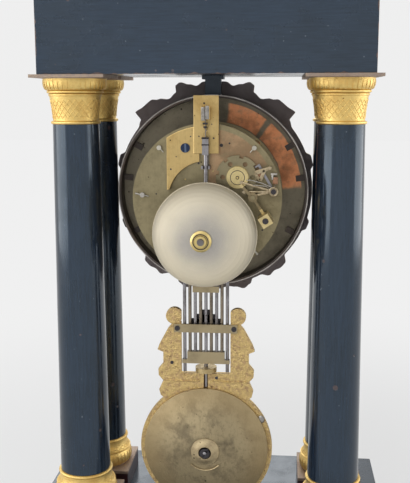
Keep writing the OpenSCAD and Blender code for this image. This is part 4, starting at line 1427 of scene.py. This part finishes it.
@dataclass
class Movement:
    """Plates, trains, bell and levers. Lengths are in millimetres, roundings in metres."""

    plate_y: float = 30.0
    foot_y: float = 33.0
    bar_y: float = 34.0
    lever: tuple[float, float] = (-43.0, 283.7)
    lever_y: float = 35.6
    spring_y: float = 35.4
    count: tuple[float, float] = (-20.0, 292.3)
    hammer_head: tuple[float, float] = (-38.4, 267.0)
    bell_z: float = 257.0
    nut_y: float = 72.6
    hole_deep: float = 0.2
    soft_cock: float = 0.00025

    def build(self) -> None:
        """Dresses the movement."""
        dress_nodes(Palette.plate, "front_plate", "back_plate")
        dress_nodes(Palette.pillar, "pillars")
        dress_nodes(Palette.bright, "back_cock", soft=self.soft_cock)
        dress_nodes(
            Palette.wheel, "going_barrel", "strike_barrel", "intermediate_wheel", "centre_wheel",
            "third_wheel", "escape_wheel", "second_wheel", "pin_wheel", "locking_wheel", "warning_wheel",
            "fly", "minute_wheel", "hour_wheel",
        )
        dress_nodes(
            Palette.steel, "going_arbor", "strike_arbor", "going_click", "strike_click", "pallet_anchor",
            "strike_lever", "cannon_pinion",
        )
        dress_nodes(Palette.count, "count_wheel")
        dress_nodes(Palette.hammer, "hammer")
        dress_nodes(Palette.stand, "bell_stand")
        dress_nodes(Palette.bell, "bell")
        self.screws()
        self.holes()
        self.levers()
        self.springs()
        self.ends()
        self.jaws()

    def screws(self) -> None:
        """Adds the screws of the cock and the lever, a dark ring as painted shade in the bell nut's
        groove, and the side pin.
        """
        back = Way.REAR.value
        seat = mm(13.4, self.foot_y, 311)
        floor = Shape().rod(seat, back, 0.00066, 0.0027)
        floor.piece("cock_screw_slot", Body.CASE, Palette.slot, Slot.BLUED)
        cock = Shape().screw(seat, back, 0.003, 0.0012, 1.62)
        cock.piece("cock_screw", Body.CASE, Palette.blued, Slot.BLUED)
        stud = Shape().screw(mm(self.lever[0], 36.9, self.lever[1]), back, 0.0017, 0.0008, 1.2)
        stud.piece("lever_screw", Body.CASE, Palette.dark, Slot.STEEL)
        nut = Shape().ring(mm(0, self.nut_y, self.bell_z), back, 0.0046, 0.00035)
        nut.piece("bell_nut_groove_shade", Body.CASE, Palette.dark, Slot.DARK)
        pin = Shape().rod(mm(42, self.plate_y, 280.4), back, 0.0018, 0.0016)
        pin.rod(mm(37.8, 31.1, 279.5), mm(8.8, 0, 1.9), 0.009, 0.0003, 0.0006)
        pin.piece("side_pin", Body.CASE, Palette.pale_steel, Slot.STEEL)

    def holes(self) -> None:
        """Adds dark discs as painted shade in the small drilled holes of the cock and the plate."""
        shape = Shape()
        spots = {
            self.bar_y: (
                (1.2, 339.1, 0.65), (-2.6, 331.0, 0.5), (-4.8, 317.2, 0.6), (4.6, 318.4, 0.5),
                (-3.6, 326.0, 0.4),
            ),
            self.foot_y: ((10.0, 318.2, 0.45), (22.9, 297.3, 0.6), (19.4, 305.4, 0.4)),
            self.plate_y: (
                (33.0, 281.0, 0.5), (-9.4, 312.5, 1.1), (-14.6, 313.8, 0.6), (28.5, 262.0, 0.7),
                (-36.0, 258.0, 0.6), (5.2, 301.0, 0.7),
            ),
        }
        for y, row in spots.items():
            for x, z, radius in row:
                foot = mm(x, y - self.hole_deep, z)
                shape.rod(foot, Way.REAR.value, 0.00023, radius / 1000, sides=16)
        shape.piece("drilled_hole_shade", Body.CASE, Palette.dark, Slot.DARK)

    def arm(self, shape: Shape, first: Vector, last: Vector, size: Vector) -> None:
        """Adds a flat arm between two points in the plane of the plates.

        Args:
            shape: The shape that it goes into.
            first: Its first end.
            last: Its other end.
            size: Its thickness from front to back, its height and its bevel.
        """
        reach = last - first
        lean = -math.atan2(reach.z, reach.x)
        shape.bar((first + last) / 2, Vector((reach.length, size.x, size.y)), lean, size.z)

    def levers(self) -> None:
        """Adds the detents on the lever's stud."""
        back = Way.REAR.value
        hub = mm(self.lever[0], self.lever_y, self.lever[1])
        detents = Shape().rod(hub - mm(0, 0.6, 0), back, 0.002, 0.0029, sides=28)
        detents.ring(hub + mm(0, 1.4, 0), back, 0.0026, 0.0005)
        for x, z in ((-22.6, 289.4), (-24.2, 283.2), (-29.5, 280.6)):
            end = mm(x, self.lever_y, z)
            self.arm(detents, hub, end, mm(1.2, 1.3, 0.25))
            detents.rod(end - mm(0, 0.7, 0), back, 0.0015, 0.0011, sides=14)
        detents.piece("strike_detents", Body.CASE, Palette.lever, Slot.STEEL)

    def springs(self) -> None:
        """Adds the warning piece, the copper-toned blocks, the bracket and the wire springs."""
        foot, post, tip, heel = [
            mm(x, self.spring_y, z)
            for x, z in ((-40.6, 298.6), (-37.4, 297.4), (-31.2, 295.4), (-34.4, 290.6))
        ]
        lever = Shape().rod(mm(-40.6, self.plate_y, 298.6), Way.REAR.value, 0.0062, 0.0011, sides=16)
        arms = ((foot, post, 2.2), (post, tip, 2.6), (post, heel, 2.2), (tip, heel, 1.6))
        for first, last, tall in arms:
            self.arm(lever, first, last, mm(0.8, tall, 0.2))
        lever.piece("warning_piece", Body.CASE, Palette.lever, Slot.STEEL)
        block = Shape().slab(mm(-44.0, 31.9, 290.4), mm(3.4, 3.6, 4.6), 0.0004)
        block.slab(mm(-34.4, 35.1, 294.4), mm(3.6, 0.5, 3.4), 0.0001)
        block.piece("lever_blocks", Body.CASE, Palette.copper, Slot.COPPER)
        wires = Shape().slab(mm(-43.2, 32.2, 294.6), mm(4.2, 4.2, 1.2), 0.0003)
        wires.slab(mm(-42.2, 32.2, 292.6), mm(1.2, 4.2, 3.4), 0.0003)
        paths = (
            (0.0003, ((-43, 37.2, 286.0), (-36, 36.6, 289.0), (-28.5, 36.3, 291.0), (-26, 36.3, 290.8))),
            (0.00025, ((-44.8, 37.0, 283.0), (-38, 36.5, 287.2), (-30, 36.3, 287.8))),
            (0.0003, ((-44.2, 30.2, 288.6), (-43.8, 33.6, 287.6), (-43.4, 36.2, 286.0))),
        )
        for radius, points in paths:
            wires.wire([mm(*point) for point in points], radius)
        wires.piece("strike_springs", Body.CASE, Palette.pale_steel, Slot.STEEL)

    def ends(self) -> None:
        """Adds the arbor's end, a dark ring as painted shade in the groove on the count wheel's collet,
        and the hammer's plug.
        """
        back = Way.REAR.value
        x, z = self.count
        collet = Shape().ring(mm(x, 34.8, z), back, 0.0045, 0.00022)
        collet.rod(mm(x, 34.6, z), back, 0.0006, 0.0013, 0.0009)
        collet.piece("collet_groove_shade", Body.SECOND, Palette.dark, Slot.DARK)
        x, z = self.hammer_head
        plug = Shape().rod(mm(x, 51.9, z), back, 0.0006, 0.002, 0.0017, 24)
        plug.piece("hammer_plug", Body.HAMMER, Palette.dark, Slot.DARK)

    def jaws(self) -> None:
        """Adds the pale steel cheeks of the suspension's jaws."""
        shape = Shape()
        for side in (-1, 1):
            shape.slab(mm(side * 1.35, 40.9, 333 - 0.4 * side), mm(2.3, 0.9, 8.4), 0.0003)
            shape.rod(mm(side * 1.35, 41.2, 335.2), Way.REAR.value, 0.0005, 0.0005, sides=12)
        shape.piece("jaw_cheeks", Body.CASE, Palette.worn_steel, Slot.STEEL)


@dataclass
class Dial:
    """Drum, dial, bezel, hands and glass. Lengths are in millimetres."""

    axis_z: float = 278.0
    face_y: float = -27.6
    paint_t: float = 0.06
    numeral_r: float = 41.0
    numeral_tall: float = 8.5
    numeral_lean: float = 0.22
    serif: float = 0.35
    track_r: float = 47.5
    track_w: float = 2.4
    line_half: float = 0.12
    winding: tuple[float, float] = (23.0, -8.0)
    bezel_y: float = -38.0
    gadroons: int = 84
    gadroon_r: float = 58.4
    hinge_clear: float = 0.17
    pearls: int = 72
    pearl_ring: float = 64.3
    leaf_r: float = 66.5

    def build(self) -> None:
        """Dresses the dial side."""
        dress_nodes(Palette.ring, "drum_ring")
        dress_nodes(Palette.sheet, "false_plate")
        dress_nodes(Palette.enamel, "dial")
        dress_nodes(Palette.bezel, "bezel")
        dress_nodes(Palette.gilt, "glass_ring")
        dress_nodes(Palette.glass, "dial_glass")
        dress_nodes(Palette.blued, "hour_hand", "minute_hand")
        self.numerals()
        self.track()
        self.eyelets()
        self.ornament()

    def stroke(self, shape: Shape, x: float, rise: float, size: tuple[float, float], lean: float) -> None:
        """Adds one painted stroke at the top of the dial.

        Args:
            shape: The shape that it goes into.
            x: Its middle across.
            rise: Its middle above the axis.
            size: Its width and height.
            lean: Its lean to the right at the top, in radians.
        """
        at = mm(x, self.face_y - self.paint_t / 3, self.axis_z + rise)
        shape.bar(at, mm(size[0], self.paint_t, size[1] / math.cos(lean)), lean)

    def numerals(self) -> None:
        """Paints the twelve hours as Roman numerals."""
        shape = Shape()
        widths = {"I": 2.2, "V": 4.4, "X": 4.4}
        thick, plain, thin = 1.2, 1.1, 0.5
        tall = self.numeral_tall
        hours = "I II III IIII V VI VII VIII IX X XI XII"
        for hour, text in enumerate(hours.split(), 1):
            before = set(shape.bm.verts)
            whole = sum(widths[letter] for letter in text)
            x = -whole / 2
            for letter in text:
                middle = x + widths[letter] / 2
                if letter == "I":
                    self.stroke(shape, middle, self.numeral_r, (plain, tall), 0.0)
                else:
                    shift = 0.9 if letter == "V" else 0.0
                    for side, width in ((-1, thick), (1, thin)):
                        lean = side * self.numeral_lean
                        self.stroke(shape, middle + side * shift, self.numeral_r, (width, tall), lean)
                x += widths[letter]
            for level in (-tall / 2, tall / 2):
                self.stroke(shape, 0.0, self.numeral_r + level, (whole - 0.6, self.serif), 0.0)
            shape.turn(before, mm(0, 0, self.axis_z), TAU * hour / 12)
        shape.piece("dial_numerals", Body.CASE, Palette.black_paint, Slot.ENAMEL, smooth=False)

    def track(self) -> None:
        """Paints the minute track."""
        shape = Shape()
        centre = mm(0, self.face_y, self.axis_z)
        low, high = -0.00002, 0.00004
        for radius in (self.track_r, self.track_r + self.track_w):
            inner = (radius - self.line_half) / 1000
            outer = (radius + self.line_half) / 1000
            section = [(inner, low), (outer, low), (outer, high), (inner, high)]
            shape.turning(centre, Way.FRONT.value, section, 120)
        for count, width in ((60, 0.3), (12, 0.9)):
            before = set(shape.bm.verts)
            self.stroke(shape, 0.0, self.track_r + self.track_w / 2, (width, self.track_w), 0.0)
            shape.repeat(before, centre, Way.REAR.value, count)
        shape.piece("minute_track", Body.CASE, Palette.black_paint, Slot.ENAMEL, smooth=False)

    def eyelets(self) -> None:
        """Adds the gilt eyelets of the winding holes."""
        shape = Shape()
        across, rise = self.winding
        for x in (-across, across):
            centre = mm(x, self.face_y, self.axis_z + rise)
            shape.ring(centre, Way.REAR.value, 0.0047, 0.0005, 40)
        shape.piece("winding_eyelets", Body.CASE, Palette.gilt, Slot.GILT)

    def ornament(self) -> None:
        """Adds the gadroons, leaf ribs and pearls of the bezel's front."""
        shape = Shape()
        centre = mm(0, self.bezel_y, self.axis_z)
        for step in range(self.gadroons):
            angle = TAU * step / self.gadroons
            out = Vector((math.sin(angle), 0, math.cos(angle)))
            beside_hinge = out.x > 0 and abs(out.z) < self.hinge_clear
            if not beside_hinge:
                foot = centre + out * self.gadroon_r / 1000 + mm(0, 0.5, 0)
                shape.rod(foot, out, 0.0045, 0.0013, 0.001, 10)
        leaves = (
            (6, 7), (13, 7), (18, 9), (34, 7), (39, 8), (44, 8.5), (73, 3), (111, 3), (139, 5), (147, 5),
            (163, 6.5),
        )
        places = [(side, fan) for side in (-1, 1) for fan in (-1.5, 0, 1.5)]
        for (turn, reach), (side, fan) in product(leaves, places):
            angle = side * math.radians(turn + fan)
            out = Vector((math.sin(angle), 0, math.cos(angle)))
            foot = centre + out * self.leaf_r / 1000 + mm(0, 0.2, 0)
            shape.rod(foot, out, reach / 1000, 0.0009, 0.0003, 10)
        shape.piece("bezel_leaf_ribs", Body.CASE, Palette.gilt, Slot.GILT)
        pearls = Shape().ball(centre + mm(0, 0.1, self.pearl_ring), 0.0008)
        pearls.repeat(set(), centre, Way.REAR.value, self.pearls)
        pearls.piece("bezel_pearls", Body.CASE, Palette.gilt, Slot.GILT)


@dataclass
class Pendulum:
    """Gridiron, cast frame, bob and nut. Lengths are in millimetres, roundings in metres."""

    rod_y: float = 37.6
    face_y: float = 39.6
    strap_y: float = 41.1
    strap_z: float = 194.25
    strap_half: float = 2.75
    screw_x: float = 18.5
    bob_z: float = 112.0
    bob_y: float = 48.1
    front_y: float = 35.6
    front_r: float = 36.9
    front_bulge: float = 3.5
    petals: int = 24
    dent_r: float = 13.0
    step_t: float = 1.2
    soft_step: float = 0.0002
    ridge_r: float = 0.5
    soft_frame: float = 0.0005

    def build(self) -> None:
        """Dresses the pendulum."""
        dress_nodes(Palette.steel, "suspension", "gridiron_steel")
        dress_nodes(Palette.rods, "gridiron_brass")
        dress_nodes(Palette.frame_gilt, "pendulum_frame", soft=self.soft_frame)
        dress_nodes(Palette.bob, "bob")
        dress_nodes(Palette.nut, "rating_nut")
        self.screws()
        self.boss()
        self.dark_steps()
        self.ridges()
        self.clips()
        self.rosette()

    def screws(self) -> None:
        """Adds the two screws of the strap."""
        shape = Shape()
        for x, turn in ((-self.screw_x, 0.4), (self.screw_x, 1.9)):
            shape.screw(mm(x, self.strap_y, self.strap_z), Way.REAR.value, 0.0017, 0.0007, turn)
        shape.piece("strap_screws", Body.PENDULUM, Palette.dark, Slot.DARK)

    def boss(self) -> None:
        """Adds the ring, the dent and the screw in the middle of the bob, and the ring's repair."""
        back = Way.REAR.value
        seat = mm(0, self.bob_y, self.bob_z)
        rings = Shape().turning(seat, back, [
            (0.003, -0.0006), (0.0098, -0.0009), (0.0092, 0.0001), (0.0074, 0.0006), (0.0056, 0.0017),
            (0.0042, 0.0019), (0.0036, 0.0014),
        ])
        turns = [math.radians(a) for a in range(225, 320, 15)]
        dent = [mm(self.dent_r * math.cos(t), -0.35, self.dent_r * math.sin(t)) for t in turns]
        rings.wire([seat + point for point in dent], 0.0006)
        rings.piece("bob_boss", Body.PENDULUM, Palette.boss, Slot.BRASS)
        screw = Shape().screw(seat + mm(0, 0.6, 0), back, 0.0034, 0.002, 0.9)
        screw.piece("bob_screw", Body.PENDULUM, Palette.dark, Slot.DARK)
        tip = Shape().ball(seat + mm(0, 2.3, 0), 0.0013, (1, 0.6, 1))
        tip.piece("bob_screw_tip", Body.PENDULUM, Palette.steel, Slot.STEEL)
        patch = Shape().ball(self.spot(-36.6, 20.6, 0.1), 0.0024, (1, 0.4, 1.2))
        patch.piece("ring_repair", Body.PENDULUM, Palette.worn_steel, Slot.DARK)

    def dark_steps(self) -> None:
        """Adds stepped dark slabs behind the rods that show between them."""
        shape = Shape()
        y = self.rod_y - 2.2
        for half, tall in ((10.5, 2.6), (7.0, 5.6), (3.5, 8.6)):
            middle = mm(0, y, self.strap_z + self.strap_half + tall / 2)
            shape.slab(middle, mm(2 * half, self.step_t, tall), self.soft_step)
        shape.slab(mm(0, y, self.strap_z), mm(21, self.step_t, 6), self.soft_step)
        shape.piece("grid_dark_steps", Body.PENDULUM, Palette.dark, Slot.DARK)

    def spot(self, x: float, rise: float, out: float = 0.0) -> Vector:
        """Gives a point on the frame's back from its place across and above the bob's middle."""
        return mm(x, self.face_y + out, self.bob_z + rise)

    def ridges(self) -> None:
        """Adds the cast ridges, lumps and pits on the back of the frame."""
        shape = Shape()
        lumps = (
            (9, 48.4, 1.2), (12.5, 49, 0.9), (20, 56, 0.9), (24, 63, 1.0), (22, 72, 0.8), (19, 61, 0.7),
        )
        for side in (-1, 1):
            ridge = [self.spot(side * x, rise) for x, rise in ((4, 46.4), (14, 45.6), (27, 46.2))]
            shape.wire(ridge, self.ridge_r / 1000)
            for x, rise, size in lumps:
                shape.ball(self.spot(side * x, rise, -0.1), size / 1000, (1.2, 0.35, 1))
        shape.wire([self.spot(16.5, 52.8), self.spot(14, 49.4)], self.ridge_r / 1000)
        shape.piece("frame_ridges", Body.PENDULUM, Palette.frame_gilt, Slot.GILT)
        pits = Shape().rod(self.spot(22.4, 58.4, -0.4), Way.REAR.value, 0.0008, 0.0011)
        pits.ball(self.spot(-7.4, 48.4, -0.1), 0.0013, (1.3, 0.2, 1))
        pits.piece("frame_pits", Body.PENDULUM, Palette.dark, Slot.DARK)

    def clips(self) -> None:
        """Adds the small pins on the spring strip and its ferrule."""
        shape = Shape()
        for z, reach in ((326.6, 1.5), (324.4, 1.1), (317.6, 2.3), (313.4, 2.3)):
            end = mm(-reach, self.rod_y + 2.6, z)
            shape.rod(end, Way.ACROSS.value, 2 * reach / 1000, 0.0006, sides=12)
        shape.piece("spring_pins", Body.PENDULUM, Palette.dark, Slot.DARK)

    def rosette(self) -> None:
        """Adds the rosette on the front of the bob."""
        centre = mm(0, self.front_y, self.bob_z)
        petal = []
        for share in (0.2, 0.4, 0.6, 0.78, 0.88):
            petal.append(centre + mm(0, -self.front_bulge * (1 - share**2), self.front_r * share))
        petals = Shape().wire(petal, 0.0012)
        petals.repeat(set(), centre, Way.REAR.value, self.petals)
        petals.piece("bob_petals", Body.PENDULUM, Palette.gilt, Slot.GILT)
        pearls = Shape().ball(centre + mm(0, -0.2, 0.95 * self.front_r), 0.001)
        pearls.repeat(set(), centre, Way.REAR.value, 2 * self.petals)
        pearls.piece("bob_pearls", Body.PENDULUM, Palette.gilt, Slot.GILT)
        boss = Shape().turning(centre - mm(0, self.front_bulge, 0), Way.FRONT.value, [
            (0.0004, 0.0026), (0.0028, 0.002), (0.0042, 0.0007), (0.0058, 0.0013), (0.0078, 0.0009),
            (0.0084, -0.0008),
        ])
        boss.piece("bob_front_boss", Body.PENDULUM, Palette.gilt, Slot.GILT)


def main() -> None:
    """Builds the studio and every part of the clock."""
    logging.basicConfig(level=logging.INFO, format="%(name)s: %(message)s")
    Effects.build()
    for part in (Studio(), Case(), Movement(), Dial(), Pendulum()):
        part.build()


if __name__ == "__main__":
    main()
